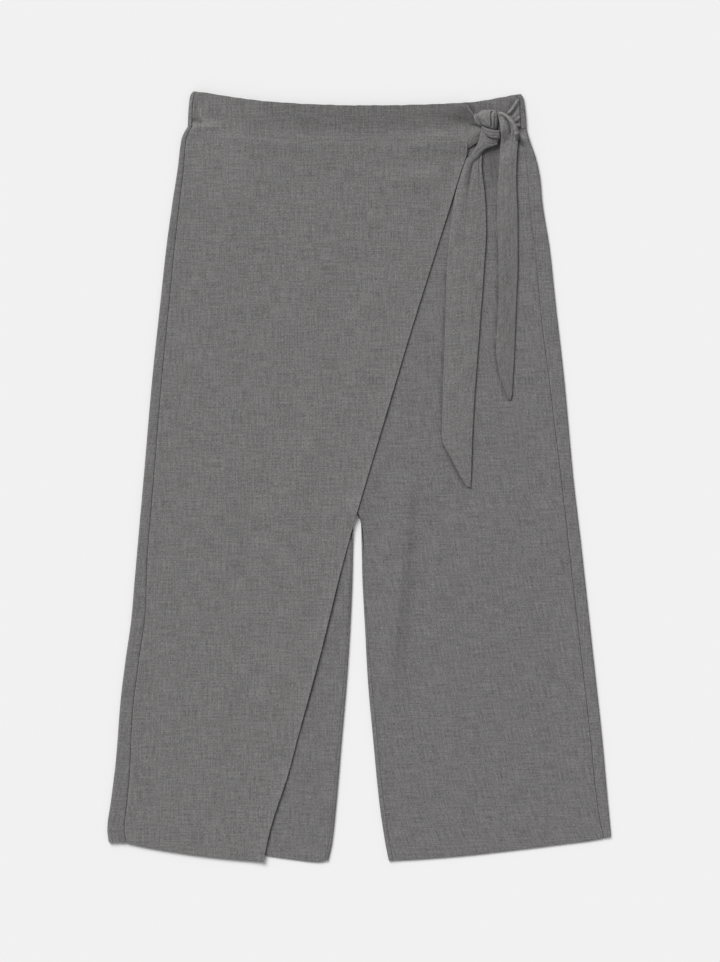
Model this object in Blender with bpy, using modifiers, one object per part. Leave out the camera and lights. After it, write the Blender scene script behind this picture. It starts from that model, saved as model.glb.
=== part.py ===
# Wide-leg wrap pants, laid flat with the front up.
# The cloth is drawn in millimetres: "across" runs to the viewer's right from the centre seam,
# "down" runs from the waist's highest corner to the hems, and "height" is above the surface they lie on.
import math
from collections import namedtuple

import bmesh
import bpy
from mathutils import Matrix, Vector

MM = 0.001

# Cloth and layers
CLOTH = 1.0
BAND = 1.6
TIE = 2.0
SEAM_GAP = 0.3
WAIST_SEAM_GAP = 0.5
LAYER_GAP = 0.4

# The height of the middle of each flat layer's wall
BACK_LEVEL = CLOTH / 2
FRONT_LEVEL = CLOTH + LAYER_GAP + CLOTH / 2
BACK_BAND_LEVEL = BAND / 2
FRONT_BAND_LEVEL = BAND + LAYER_GAP + BAND / 2
WRAP_OVER_FRONT = CLOTH + LAYER_GAP
WRAP_OVER_BAND = BAND / 2 + LAYER_GAP + CLOTH / 2

# How far the layers stand up towards a fold or a thicker seam, and how fast that fades
SIDE_PUFF = 1.1
INSEAM_PUFF = 1.0
WAIST_PUFF = 0.9
PUFF_REACH = 12.0
WAIST_REACH = 18.0

# The wrap steps down off the waistband's seam over this stretch
BAND_STEP_START = 1.0
BAND_STEP_REACH = 8.0

BAND_HEIGHT = 42.0
CROTCH = 505.0
CROTCH_TURN = 50.0
INSEAM_INSET_LEFT = 4.0
INSEAM_INSET_RIGHT = 5.5
INSEAM_START = 0.8
BAND_INSET_LEFT = 4.6
BAND_INSET_RIGHT = 7.0
FOLD_TOP = 3.0
JUST_ABOVE = 0.1
LEAST_COLUMN = 1.0
GROOVE_WIDTH = 0.32

Edge = namedtuple("Edge", "down across")
Inset = namedtuple("Inset", "down inset")
Hem = namedtuple("Hem", "across down")
BandSide = namedtuple("BandSide", "share across")
TieRow = namedtuple("TieRow", "left left_down right right_down lift arch groove")
Ring = namedtuple("Ring", "across down height width thick heading tilt")
Pleat = namedtuple("Pleat", "place width depth")
Crease = namedtuple("Crease", "across down to_across to_down width height")

# The outer edge of each leg, from the waistband's seam to the hem
LEFT_EDGE = (
    Edge(43.2, -203.0), Edge(50.4, -207.4), Edge(58.8, -210.7), Edge(94.8, -215.3),
    Edge(130.8, -220.9), Edge(190.8, -229.1), Edge(250.8, -235.6), Edge(346.8, -245.8),
    Edge(466.8, -256.2), Edge(586.8, -266.8), Edge(634.8, -270.9), Edge(682.8, -277.7),
    Edge(730.8, -283.6), Edge(802.8, -289.3), Edge(850.8, -295.1), Edge(886.8, -299.6),
    Edge(901.2, -298.0),
)
RIGHT_EDGE = (
    Edge(46.0, 203.3), Edge(58.8, 206.9), Edge(82.8, 215.0), Edge(106.8, 219.7),
    Edge(130.8, 221.8), Edge(190.8, 231.2), Edge(250.8, 237.6), Edge(346.8, 248.4),
    Edge(466.8, 259.5), Edge(538.8, 268.0), Edge(682.8, 283.7), Edge(778.8, 294.1),
    Edge(850.8, 300.6), Edge(894.0, 304.7),
)
LEFT_INSEAM = (
    Edge(505.0, -0.5), Edge(512.0, -3.0), Edge(522.0, -4.2), Edge(586.8, -5.8),
    Edge(634.8, -7.9), Edge(706.8, -12.4), Edge(778.8, -18.6), Edge(850.8, -24.6),
    Edge(901.2, -30.0), Edge(922.0, -34.4),
)
RIGHT_INSEAM = (
    Edge(505.0, 0.5), Edge(512.0, 3.4), Edge(522.0, 4.8), Edge(586.8, 6.5),
    Edge(634.8, 9.1), Edge(706.8, 13.0), Edge(778.8, 19.4), Edge(850.8, 26.4),
    Edge(901.2, 33.7), Edge(923.2, 38.0),
)

# The waistband's two folded sides, by the share of its height from the top
BAND_LEFT = (
    BandSide(0.0, -196.4), BandSide(0.12, -200.0), BandSide(0.4, -201.8), BandSide(0.7, -202.6),
    BandSide(1.0, -203.0),
)
BAND_RIGHT = (
    BandSide(0.0, 196.6), BandSide(0.12, 199.6), BandSide(0.4, 201.4), BandSide(0.7, 202.6),
    BandSide(1.0, 203.3),
)

# How far in from the outer edge each side seam lies, because the back folds round onto the front
LEFT_SEAM = (
    Inset(43.0, 5.0), Inset(77.0, 6.4), Inset(125.0, 8.2), Inset(220.0, 10.3),
    Inset(410.0, 11.8), Inset(557.0, 12.6), Inset(620.0, 15.8), Inset(700.0, 16.0),
    Inset(750.0, 15.6), Inset(845.0, 19.3), Inset(901.0, 21.0),
)
RIGHT_SEAM = (
    Inset(46.0, 7.5), Inset(80.0, 12.0), Inset(119.0, 14.6), Inset(191.0, 17.4),
    Inset(287.0, 18.8), Inset(383.0, 16.9), Inset(479.0, 14.3), Inset(575.0, 14.7),
    Inset(671.0, 14.0), Inset(815.0, 13.6), Inset(863.0, 12.3), Inset(894.0, 9.0),
)

# The waist's top edge, the legs' hems and the wrap's hem
WAIST = (
    Hem(-201.0, 0.6), Hem(-188.0, 1.4), Hem(-170.0, 4.1), Hem(-134.0, 9.6), Hem(-98.0, 13.4),
    Hem(-44.0, 16.4), Hem(0.0, 17.4), Hem(44.0, 17.2), Hem(100.0, 15.6), Hem(131.0, 14.0),
    Hem(154.0, 11.2), Hem(172.0, 7.9), Hem(190.0, 4.6), Hem(201.0, 3.2),
)
LEFT_HEM = (
    Hem(-298.0, 901.2), Hem(-277.0, 901.4), Hem(-240.0, 906.0), Hem(-200.0, 910.0),
    Hem(-150.0, 914.0), Hem(-110.0, 917.4), Hem(-80.0, 921.4), Hem(-46.0, 924.8),
    Hem(-34.4, 922.0),
)
RIGHT_HEM = (
    Hem(38.0, 923.2), Hem(64.0, 922.2), Hem(100.0, 919.8), Hem(136.0, 916.6), Hem(172.0, 912.6),
    Hem(208.0, 908.4), Hem(244.0, 903.8), Hem(280.0, 899.2), Hem(304.7, 894.0),
)
WRAP_HEM = (
    Hem(-277.0, 901.8), Hem(-260.0, 905.8), Hem(-236.0, 910.2), Hem(-212.0, 914.0),
    Hem(-188.0, 917.4), Hem(-152.0, 921.4), Hem(-112.1, 924.6),
)

# The wrap's free edge: a short upright where its tie is sewn on, then the long slant
WRAP_EDGE = (
    Edge(14.6, 131.4), Edge(40.0, 132.0), Edge(69.6, 132.5), Edge(100.8, 123.6), Edge(196.8, 93.6),
    Edge(292.8, 63.6), Edge(388.8, 35.0), Edge(484.8, 6.4), Edge(532.8, -7.4), Edge(580.8, -20.4),
    Edge(676.8, -44.0), Edge(772.8, -70.1), Edge(820.8, -82.8), Edge(868.8, -98.8),
    Edge(892.8, -105.6), Edge(924.6, -112.1),
)

# Soft folds in the front layers: the pull from the knot, the gathers beside it, and the leg's crease
CREASES = (
    Crease(128.0, 46.0, -20.0, 46.0, 9.0, 1.1),
    Crease(130.0, 64.0, 20.0, 92.0, 12.0, 0.9),
    Crease(166.0, 66.0, 164.0, 210.0, 7.0, 0.8),
    Crease(201.0, 60.0, 207.0, 190.0, 8.0, 0.9),
    Crease(80.0, 560.0, 66.0, 820.0, 16.0, 0.7),
)

# The free ends of the ties, row by row from the knot to the tip. Lift is how far the row stands clear of
# what it lies on, arch how much more its middle does, and groove how deep the fold down its middle is.
TAIL_LONG = (
    TieRow(131.6, 80.5, 149.9, 73.0, 0.2, 0.2, 0.0),
    TieRow(129.6, 85.5, 149.7, 80.5, 0.2, 0.4, 0.2),
    TieRow(127.2, 92.0, 149.5, 90.0, 0.2, 0.9, 0.8),
    TieRow(123.0, 105.0, 150.8, 104.0, 0.3, 1.2, 1.2),
    TieRow(116.8, 129.0, 153.9, 129.0, 0.2, 1.1, 0.9),
    TieRow(111.6, 166.8, 155.3, 166.8, 0.0, 0.6, 0.4),
    TieRow(107.4, 220.8, 152.1, 220.8, 0.0, 0.4, 0.0),
    TieRow(105.2, 292.8, 146.8, 292.8, 0.0, 0.3, 0.0),
    TieRow(102.8, 364.8, 141.4, 364.8, 0.0, 0.3, 0.0),
    TieRow(101.8, 406.0, 139.0, 406.0, 0.0, 0.3, 0.0),
    TieRow(102.6, 420.0, 138.4, 421.0, 0.0, 0.3, 0.0),
    TieRow(111.4, 438.0, 137.8, 439.0, 0.0, 0.3, 0.0),
    TieRow(121.0, 457.0, 137.4, 458.5, 0.0, 0.2, 0.0),
    TieRow(131.6, 475.0, 136.6, 476.4, 0.0, 0.0, 0.0),
)
TAIL_SHORT = (
    TieRow(171.4, 45.6, 169.6, 25.2, 9.0, 1.0, 0.4),
    TieRow(172.6, 46.4, 174.2, 24.8, 9.0, 1.6, 1.0),
    TieRow(173.4, 48.2, 180.6, 28.4, 8.6, 2.2, 1.8),
    TieRow(173.4, 51.4, 187.4, 35.6, 7.8, 2.8, 2.6),
    TieRow(172.9, 56.8, 192.0, 45.6, 6.4, 3.2, 3.2),
    TieRow(171.6, 64.6, 193.6, 58.0, 4.2, 2.8, 2.8),
    TieRow(169.6, 75.0, 193.2, 72.0, 2.2, 2.0, 1.8),
    TieRow(168.0, 89.0, 192.2, 88.0, 0.9, 1.5, 1.2),
    TieRow(167.4, 108.0, 192.0, 108.0, 0.3, 1.0, 0.6),
    TieRow(168.0, 148.8, 192.7, 148.8, 0.0, 0.6, 0.2),
    TieRow(169.6, 202.8, 193.2, 202.8, 0.0, 0.4, 0.0),
    TieRow(169.8, 246.0, 191.6, 246.0, 0.0, 0.3, 0.0),
    TieRow(167.2, 292.8, 189.8, 292.8, 0.0, 0.3, 0.0),
    TieRow(166.8, 312.0, 189.0, 312.0, 0.0, 0.3, 0.0),
    TieRow(169.0, 331.0, 188.1, 331.0, 0.0, 0.3, 0.0),
    TieRow(173.6, 348.0, 187.1, 348.0, 0.0, 0.2, 0.0),
    TieRow(178.4, 362.0, 186.4, 363.0, 0.0, 0.1, 0.0),
    TieRow(181.6, 370.4, 184.6, 371.0, 0.0, 0.0, 0.0),
)

# The gathered starts of the two ties, row by row from the seam to the knot.
# Here left is the upper edge and right is the lower one.
WRAP_TIE = (
    TieRow(131.9, 16.0, 133.0, 69.0, 0.0, 0.0, 0.0),
    TieRow(134.6, 20.4, 136.4, 67.4, 0.3, 0.6, 0.5),
    TieRow(138.2, 25.8, 139.8, 65.2, 1.2, 1.6, 1.2),
    TieRow(142.0, 31.0, 141.8, 62.4, 2.8, 2.2, 1.4),
    TieRow(145.8, 34.4, 141.9, 59.6, 4.6, 1.4, 0.6),
)
SIDE_TIE = (
    TieRow(194.6, 6.8, 196.0, 43.0, 0.0, 0.0, 0.0),
    TieRow(190.0, 10.4, 192.6, 43.4, 0.0, 1.0, 0.9),
    TieRow(185.0, 17.6, 188.0, 42.6, 0.2, 1.8, 1.4),
    TieRow(179.6, 25.4, 181.6, 41.4, 0.6, 2.0, 1.2),
    TieRow(174.6, 31.0, 175.4, 41.2, 1.2, 1.6, 0.6),
)

# The knot: the loop over its top, the band that crosses below it, and the twisted neck of the long end.
# Heading turns a ring's width in plan, and tilt leans it.
KNOT_LOOP = (
    Ring(157.4, 31.0, 6.8, 14.0, 2.6, 0.0, 0.0),
    Ring(157.0, 26.6, 9.4, 20.0, 4.6, 0.0, 0.0),
    Ring(156.4, 24.8, 13.0, 23.6, 5.0, 0.0, 0.0),
    Ring(156.0, 27.0, 16.8, 25.6, 5.4, 0.0, 2.0),
    Ring(155.9, 32.6, 18.6, 26.6, 5.6, 0.0, 3.0),
    Ring(156.2, 39.0, 17.4, 25.6, 5.4, 0.0, 3.0),
    Ring(157.4, 44.6, 14.2, 22.6, 4.8, 0.0, 2.0),
    Ring(158.8, 47.6, 10.4, 17.0, 3.4, 0.0, 0.0),
)
LOOP_PLEATS = (Pleat(0.32, 0.13, 0.7), Pleat(0.72, 0.12, 0.6))
KNOT_CROSS = (
    Ring(146.6, 44.0, 8.0, 6.0, 3.0, -70.0, 0.0),
    Ring(149.4, 46.6, 11.2, 10.0, 4.6, -72.0, 0.0),
    Ring(154.4, 49.6, 13.6, 14.0, 5.0, -78.0, -8.0),
    Ring(160.6, 52.4, 14.2, 16.6, 5.2, -84.0, -12.0),
    Ring(166.6, 53.6, 12.6, 16.0, 5.0, -92.0, -12.0),
    Ring(170.6, 53.2, 9.8, 13.0, 4.4, -98.0, -6.0),
    Ring(171.8, 52.4, 7.2, 9.0, 3.0, -100.0, 0.0),
)
CROSS_PLEATS = (Pleat(0.3, 0.16, 0.5),)
KNOT_NECK = (
    Ring(163.0, 53.6, 7.6, 12.0, 3.6, -30.0, 0.0),
    Ring(157.6, 57.6, 9.2, 18.0, 4.8, -30.0, 0.0),
    Ring(152.2, 63.2, 9.6, 18.0, 5.0, -34.0, 0.0),
    Ring(147.0, 69.4, 9.0, 14.6, 5.0, -40.0, 0.0),
    Ring(142.0, 75.6, 8.3, 11.6, 4.6, -42.0, 0.0),
    Ring(137.2, 81.6, 7.8, 9.2, 3.8, -38.0, 0.0),
    Ring(133.2, 87.8, 7.4, 7.6, 2.8, -28.0, 0.0),
    Ring(130.2, 95.6, 7.2, 5.6, 1.2, -18.0, 0.0),
)
NECK_PLEATS = (Pleat(-0.1, 0.2, 0.3),)
KNOT_CORE = Vector((158.4, 41.6, 9.4))
KNOT_CORE_SIZE = Vector((12.0, 14.8, 4.9))
KNOT_CORE_SEGMENTS = 16
KNOT_CORE_RINGS = 8

# Rows down the legs, as places on the centre seam and the inseam
LEG_ROWS = (
    59.4, 66.0, 75.0, 90.0, 112.0, 146.0, 196.0, 256.0, 326.0, 396.0, 450.0, 486.0,
    505.0, 512.0, 522.0, 532.0, 544.0, 560.0, 596.0, 644.0, 706.0, 772.0, 838.0, 880.0, 908.0, 922.6,
)
FROM_A_SEAM = (0.0, 4.0, 10.0, 20.0, 36.0)
FROM_THE_INSEAM = (0.0, 5.0, 14.0, 30.0)
FOLD_STEPS = 5
INNER_FOLD_STEPS = 4
FLAT_STEPS = 4

CLOTH_COLOUR = (0.168, 0.163, 0.160, 1.0)
CLOTH_ROUGHNESS = 0.85


# Reading the tables

def read(table, where, column):
    """One column of a table at a place along its first column, on a smooth curve that never overshoots."""
    keys = [row[0] for row in table]
    values = [getattr(row, column) for row in table]
    where = min(max(where, keys[0]), keys[-1])
    i = max(k for k in range(len(keys) - 1) if keys[k] <= where)
    slopes = [(values[k + 1] - values[k]) / (keys[k + 1] - keys[k]) for k in range(len(keys) - 1)]

    def slope_at(k):
        if k == 0 or k == len(keys) - 1:
            return slopes[min(k, len(slopes) - 1)]
        before, after = slopes[k - 1], slopes[k]
        return 0.0 if before * after <= 0 else 2 * before * after / (before + after)

    step = keys[i + 1] - keys[i]
    t = (where - keys[i]) / step
    return (
        values[i] * (1 + 2 * t) * (1 - t) ** 2
        + values[i + 1] * t * t * (3 - 2 * t)
        + step * slope_at(i) * t * (1 - t) ** 2
        - step * slope_at(i + 1) * t * t * (1 - t)
    )


def smooth(t):
    t = min(max(t, 0.0), 1.0)
    return t * t * (3 - 2 * t)


def mix(a, b, t):
    return a + (b - a) * t


MIDDLE_ACROSS = (min(e.across for e in LEFT_EDGE) + max(e.across for e in RIGHT_EDGE)) / 2
MIDDLE_DOWN = (min(w.down for w in WAIST) + max(h.down for h in LEFT_HEM)) / 2


def spot(across, down, height):
    return Vector((across - MIDDLE_ACROSS, MIDDLE_DOWN - down, height)) * MM


# The shape of the trousers as they lie

def band_bottom(across):
    return read(WAIST, across, "down") + BAND_HEIGHT


def crotch_turn(down):
    return smooth((down - CROTCH) / CROTCH_TURN)


def crease_height(across, down):
    total = 0.0
    for crease in CREASES:
        run = Vector((crease.to_across - crease.across, crease.to_down - crease.down))
        at = Vector((across - crease.across, down - crease.down))
        share = at.dot(run) / run.length_squared
        aside = abs(at.x * run.y - at.y * run.x) / run.length
        fade = smooth(share / 0.15) * smooth((1 - share) / 0.6)
        total += crease.height * fade * math.exp(-((aside / crease.width) ** 2))
    return total


def outer_sides(across, down):
    """The two outer folds beside a place: the waistband's or the legs'."""
    share = 1 + (down - band_bottom(across)) / BAND_HEIGHT
    if share < 1:
        return read(BAND_LEFT, share, "across"), read(BAND_RIGHT, share, "across")
    return read(LEFT_EDGE, down, "across"), read(RIGHT_EDGE, down, "across")


def front_level(across, down):
    """Height of the middle of the front layer, be it waistband or panel."""
    left, right = outer_sides(across, down)
    side = math.exp(-max(min(across - left, right - across), 0.0) / PUFF_REACH)
    below = down - band_bottom(across)
    if below < 0:
        return FRONT_BAND_LEVEL + SIDE_PUFF * side
    inseam = read(LEFT_INSEAM, down, "across") if across < 0 else read(RIGHT_INSEAM, down, "across")
    to_inseam = max(abs(across) - abs(inseam), 0.0)
    return (
        FRONT_LEVEL
        + SIDE_PUFF * side
        + WAIST_PUFF * math.exp(-below / WAIST_REACH)
        + INSEAM_PUFF * crotch_turn(down + CROTCH_TURN / 2) * math.exp(-to_inseam / PUFF_REACH)
        + crease_height(across, down)
    )


def near_band(across, down):
    """1 on the waistband, fading to 0 just below its seam."""
    return smooth(1 - (down - band_bottom(across) - BAND_STEP_START) / BAND_STEP_REACH)


def wrap_level(across, down):
    """Height of the middle of the wrap, which lies on the front and its waistband."""
    folds = crease_height(across, down) if down < band_bottom(across) else 0.0
    clear = mix(WRAP_OVER_FRONT, WRAP_OVER_BAND, near_band(across, down))
    return front_level(across, down) + clear + folds


def top_of_front(across, down):
    return front_level(across, down) + mix(CLOTH, BAND, near_band(across, down)) / 2


# Making cloth

def cloth_material():
    material = bpy.data.materials.new("grey_suiting")
    material.use_nodes = True
    shader = material.node_tree.nodes["Principled BSDF"]
    shader.inputs["Base Color"].default_value = CLOTH_COLOUR
    shader.inputs["Roughness"].default_value = CLOTH_ROUGHNESS
    shader.inputs["Metallic"].default_value = 0.0
    material.diffuse_color = CLOTH_COLOUR
    return material


def finish(name, bm, collection):
    mesh = bpy.data.meshes.new(name)
    bm.to_mesh(mesh)
    bm.free()
    mesh.shade_smooth()
    mesh.materials.append(cloth_material())
    piece = bpy.data.objects.new(name, mesh)
    collection.objects.link(piece)
    return piece


def sheet(name, rows, wall, collection):
    """A wall of cloth: a grid laid through rows of points in its middle, thickened evenly to both sides."""
    bm = bmesh.new()
    across_steps = len(rows[0]) - 1
    down_steps = len(rows) - 1
    bmesh.ops.create_grid(bm, x_segments=across_steps, y_segments=down_steps, size=1.0)
    for vert in bm.verts:
        column = round((vert.co.x + 1) / 2 * across_steps)
        row = round((1 - vert.co.y) / 2 * down_steps)
        vert.co = rows[row][column]
    piece = finish(name, bm, collection)
    solidify = piece.modifiers.new("wall", "SOLIDIFY")
    solidify.thickness = wall * MM
    solidify.offset = 0.0
    solidify.use_even_offset = True
    solidify.use_quality_normals = True
    return piece


# The legs

class Leg:
    """One trouser leg: its edges, and the rows that run across it from the outer edge to the centre."""

    def __init__(self, sign, edge, inseam, seam, hem, inseam_inset, strip_level):
        self.sign = sign
        self.edge = edge
        self.inseam = inseam
        self.seam = seam
        self.hem = hem
        self.inseam_inset = inseam_inset
        self.strip_level = strip_level
        self.outer_start, self.outer_end = edge[0].down, edge[-1].down
        self.inner_start, self.inner_end = LEG_ROWS[0], inseam[-1].down

    def row(self, place):
        return Row(self, (place - self.inner_start) / (LEG_ROWS[-1] - self.inner_start))

    def outer(self, down):
        return read(self.edge, down, "across")

    def inner(self, down):
        if down < CROTCH:
            return -self.sign * SEAM_GAP / 2
        return read(self.inseam, down, "across")


class Row:
    def __init__(self, leg, share):
        self.leg = leg
        self.share = share
        self.outer_down = mix(leg.outer_start, leg.outer_end, share)
        self.inner_down = mix(leg.inner_start, leg.inner_end, share)
        self.outer = leg.outer(self.outer_down)
        self.inner = leg.inner(self.inner_down)
        self.turn = crotch_turn(self.inner_down)

    def down(self, across):
        """How far down this row lies. It bends as the waist does at its top and as the hem does below."""
        leg = self.leg
        part = min(max((across - self.outer) / (self.inner - self.outer), 0.0), 1.0)
        top_across = mix(leg.outer(leg.outer_start), leg.inner(leg.inner_start), part)
        low_across = mix(leg.outer(leg.outer_end), leg.inner(leg.inner_end), part)
        top_line = mix(leg.outer_start, leg.inner_start, part)
        low_line = mix(leg.outer_end, leg.inner_end, part)
        top_bow = band_bottom(top_across) + WAIST_SEAM_GAP - top_line
        low_bow = read(leg.hem, low_across, "down") - low_line
        return mix(self.outer_down, self.inner_down, part) + mix(top_bow, low_bow, self.share)

    def seam(self):
        """Where this row crosses the side seam."""
        across = self.outer
        for _ in range(3):
            down = self.down(across)
            across = self.leg.outer(down) + self.leg.sign * read(self.leg.seam, down, "inset")
        return across

    def front_inner(self):
        """Where the front panel ends: at the centre seam, and below the crotch at the inseam's seam."""
        away = min(1.0, 2.5 * self.turn) * (self.leg.inseam_inset + SEAM_GAP)
        return self.inner - self.leg.sign * away

    def point(self, across, height):
        return spot(across, self.down(across), height)


def fold(edge, top, low, wall, towards, steps):
    """Places (across, height) round a fold, from its top down. The cloth lies towards +1 or -1."""
    radius = (top - low) / 2
    centre = edge + towards * (wall / 2 + radius)
    angles = [math.pi * i / steps for i in range(steps + 1)]
    return [
        (centre - towards * radius * math.sin(angle), low + radius + radius * math.cos(angle))
        for angle in angles
    ]


def curl(edge, top, sign, turn, inset):
    """The back's inseam: flat at the crotch, then curling up until a strip of it is folded onto the front."""
    radius = (top - BACK_LEVEL) / 2
    arc = math.pi * radius
    angle = max(math.pi * turn, 0.001)
    bend = angle / arc
    strip = mix(INSEAM_START, inset - CLOTH / 2 - radius, smooth(2 * turn - 1))
    found = []
    for i in range(INNER_FOLD_STEPS + 1):
        at = angle * i / INNER_FOLD_STEPS
        found.append((math.sin(at) / bend, BACK_LEVEL + (1 - math.cos(at)) / bend))
    found.append((found[-1][0] + strip * math.cos(angle), found[-1][1] + strip * math.sin(angle)))
    if angle < math.pi / 2:
        reach = found[-1][0] + CLOTH / 2 * math.sin(angle)
    else:
        reach = 1 / bend + CLOTH / 2
    return [(edge - sign * (reach - across), height) for across, height in found]


def back_columns(row):
    """The back panel's row: from the side seam, round the outer edge, under the leg, and round the inseam."""
    leg = row.leg
    seam = row.seam() - leg.sign * SEAM_GAP / 2
    strip_top = leg.strip_level(row.outer + leg.sign * FOLD_TOP, row.down(row.outer))
    outer_fold = fold(row.outer, strip_top, BACK_LEVEL, CLOTH, leg.sign, FOLD_STEPS)
    strip_height = leg.strip_level(seam, row.down(seam))
    points = [(seam, strip_height), (mix(seam, outer_fold[0][0], 0.5), mix(strip_height, strip_top, 0.5))]
    points += outer_fold

    inner_top = front_level(row.inner, row.down(row.inner))
    inner = curl(row.inner, inner_top, leg.sign, row.turn, leg.inseam_inset)
    start, end = outer_fold[-1][0], inner[0][0]
    points += [(mix(start, end, i / FLAT_STEPS), BACK_LEVEL) for i in range(1, FLAT_STEPS)]
    return points + inner


def back_row(row):
    return [row.point(across, height) for across, height in back_columns(row)]


def front_columns(row):
    sign = row.leg.sign
    seam = row.seam() + sign * SEAM_GAP / 2
    inner = row.front_inner()
    left = [seam + sign * step for step in FROM_A_SEAM]
    right = [inner - sign * step for step in FROM_THE_INSEAM][::-1]
    middle = [mix(left[-1], right[0], i / FLAT_STEPS) for i in range(1, FLAT_STEPS)]
    return left + middle + right


def front_row(row):
    return [row.point(across, front_level(across, row.down(across))) for across in front_columns(row)]


def leg_panels(leg, side, collection):
    rows = [leg.row(place) for place in LEG_ROWS]
    sheet("back_" + side, [back_row(row) for row in rows], CLOTH, collection)
    sheet("front_" + side, [front_row(row) for row in rows], CLOTH, collection)


# The waistband

BAND_SHARES = (0.0, 0.12, 0.4, 0.7, 1.0)


def band_row(points, share, level=None):
    """A row of the waistband: its points stand above those of the panels sewn to it."""
    left = read(BAND_LEFT, share, "across") - BAND_LEFT[-1].across
    right = read(BAND_RIGHT, share, "across") - BAND_RIGHT[-1].across
    row = []
    for across, height in points:
        part = smooth(0.5 + across / 2 / BAND_RIGHT[-1].across)
        moved = across + mix(left, right, part)
        down = read(WAIST, moved, "down") + share * BAND_HEIGHT
        row.append(spot(moved, down, level(moved, down - JUST_ABOVE) if level else height))
    return row


def flat_columns(leg):
    """Where a leg's back panel has its columns at the waist, from its outer fold's end to the centre."""
    return [across for across, height in back_columns(leg.row(LEG_ROWS[0]))][FOLD_STEPS + 2:]


def back_waistband(left, right, collection):
    """The back waistband folds round both sides onto the front."""
    left_top = wrap_level(BAND_LEFT[-1].across + FOLD_TOP, band_bottom(0.0) - BAND_HEIGHT / 2)
    right_top = FRONT_BAND_LEVEL + SIDE_PUFF
    left_edge, right_edge = BAND_LEFT[-1].across, BAND_RIGHT[-1].across
    left_fold = fold(left_edge, left_top, BACK_BAND_LEVEL, BAND, 1, FOLD_STEPS)
    right_fold = fold(right_edge, right_top, BACK_BAND_LEVEL, BAND, -1, FOLD_STEPS)[::-1]
    between = flat_columns(left) + flat_columns(right)[:-1][::-1]
    inside = (left_fold[-1][0] + LEAST_COLUMN, right_fold[0][0] - LEAST_COLUMN)
    points = [(left_edge + BAND_INSET_LEFT, left_top)] + left_fold
    points += [(across, BACK_BAND_LEVEL) for across in between if inside[0] < across < inside[1]]
    points += right_fold + [(right_edge - BAND_INSET_RIGHT, right_top)]
    rows = [band_row(points, share) for share in BAND_SHARES]
    sheet("waistband_back", rows, BAND, collection)


def front_waistband(left, right, collection):
    start = BAND_LEFT[-1].across + BAND_INSET_LEFT + SEAM_GAP
    end = BAND_RIGHT[-1].across - BAND_INSET_RIGHT - SEAM_GAP
    top_left, top_right = left.row(LEG_ROWS[0]), right.row(LEG_ROWS[0])
    spread = [start] + front_columns(top_left) + front_columns(top_right)[:-1][::-1]
    spread = [across for across in spread if start <= across < end - LEAST_COLUMN / 2] + [end]
    points = [(across, FRONT_BAND_LEVEL) for across in spread]
    rows = [band_row(points, share, front_level) for share in BAND_SHARES]
    sheet("waistband_front", rows, BAND, collection)


# The wrap

WRAP_STEPS = 10


def wrap_sewn_edge(leg):
    """The points down the wrap's sewn edge: beside the waistband's fold, then beside the leg's side seam."""
    found = []
    for share in BAND_SHARES:
        across = read(BAND_LEFT, share, "across") + BAND_INSET_LEFT + SEAM_GAP
        found.append((across, read(WAIST, across, "down") + share * BAND_HEIGHT))
    for place in LEG_ROWS:
        row = leg.row(place)
        across = row.seam() + SEAM_GAP / 2
        found.append((across, row.down(across)))
    return found


def wrap_panel(leg, collection):
    sewn = wrap_sewn_edge(leg)
    first, last = sewn[0], sewn[-1]
    free_first, free_last = WRAP_EDGE[0], WRAP_EDGE[-1]
    rows = []
    for left, left_down in sewn:
        share = (left_down - first[1]) / (last[1] - first[1])
        right_down = mix(free_first.down, free_last.down, share)
        right = read(WRAP_EDGE, right_down, "across")
        spread = [left + step for step in FROM_A_SEAM]
        spread += [mix(spread[-1], right, k / WRAP_STEPS) for k in range(1, WRAP_STEPS + 1)]
        row = []
        for across in spread:
            part = (across - left) / (right - left)
            top_across = mix(first[0], free_first.across, part)
            low_across = mix(last[0], free_last.across, part)
            top_bow = read(WAIST, top_across, "down") - mix(first[1], free_first.down, part)
            low_bow = read(WRAP_HEM, low_across, "down") - mix(last[1], free_last.down, part)
            down = mix(left_down, right_down, part) + mix(top_bow, low_bow, share)
            row.append(spot(across, down, wrap_level(across, down)))
        rows.append(row)
    sheet("wrap_panel", rows, CLOTH, collection)


# The ties

TIE_STEPS = 8


def tie_rows(table, lies_on):
    """Rows across a tie. Each stands clear of what it lies on, arched, with a fold down its middle."""
    rows = []
    for entry in table:
        row = []
        for k in range(TIE_STEPS + 1):
            side = 2 * k / TIE_STEPS - 1
            across = mix(entry.left, entry.right, k / TIE_STEPS)
            down = mix(entry.left_down, entry.right_down, k / TIE_STEPS)
            arch = entry.arch * (1 - side * side)
            groove = entry.groove * math.exp(-((side / GROOVE_WIDTH) ** 2))
            row.append(spot(across, down, lies_on(across, down) + entry.lift + arch - groove))
        rows.append(row)
    return rows


def on_front(across, down):
    return top_of_front(across, down) + LAYER_GAP + TIE / 2


def on_wrap_edge(across, down):
    """The wrap's tie leaves the wrap's edge at the wrap's own height."""
    return wrap_level(across, down)


def ties(collection):
    sheet("tail_long", tie_rows(TAIL_LONG, on_front), TIE, collection)
    sheet("tail_short", tie_rows(TAIL_SHORT, on_front), TIE, collection)
    sheet("wrap_tie", tie_rows(WRAP_TIE, on_wrap_edge), CLOTH, collection)
    sheet("side_tie", tie_rows(SIDE_TIE, on_front), CLOTH, collection)


# The knot

RING_POINTS = 20


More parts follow.
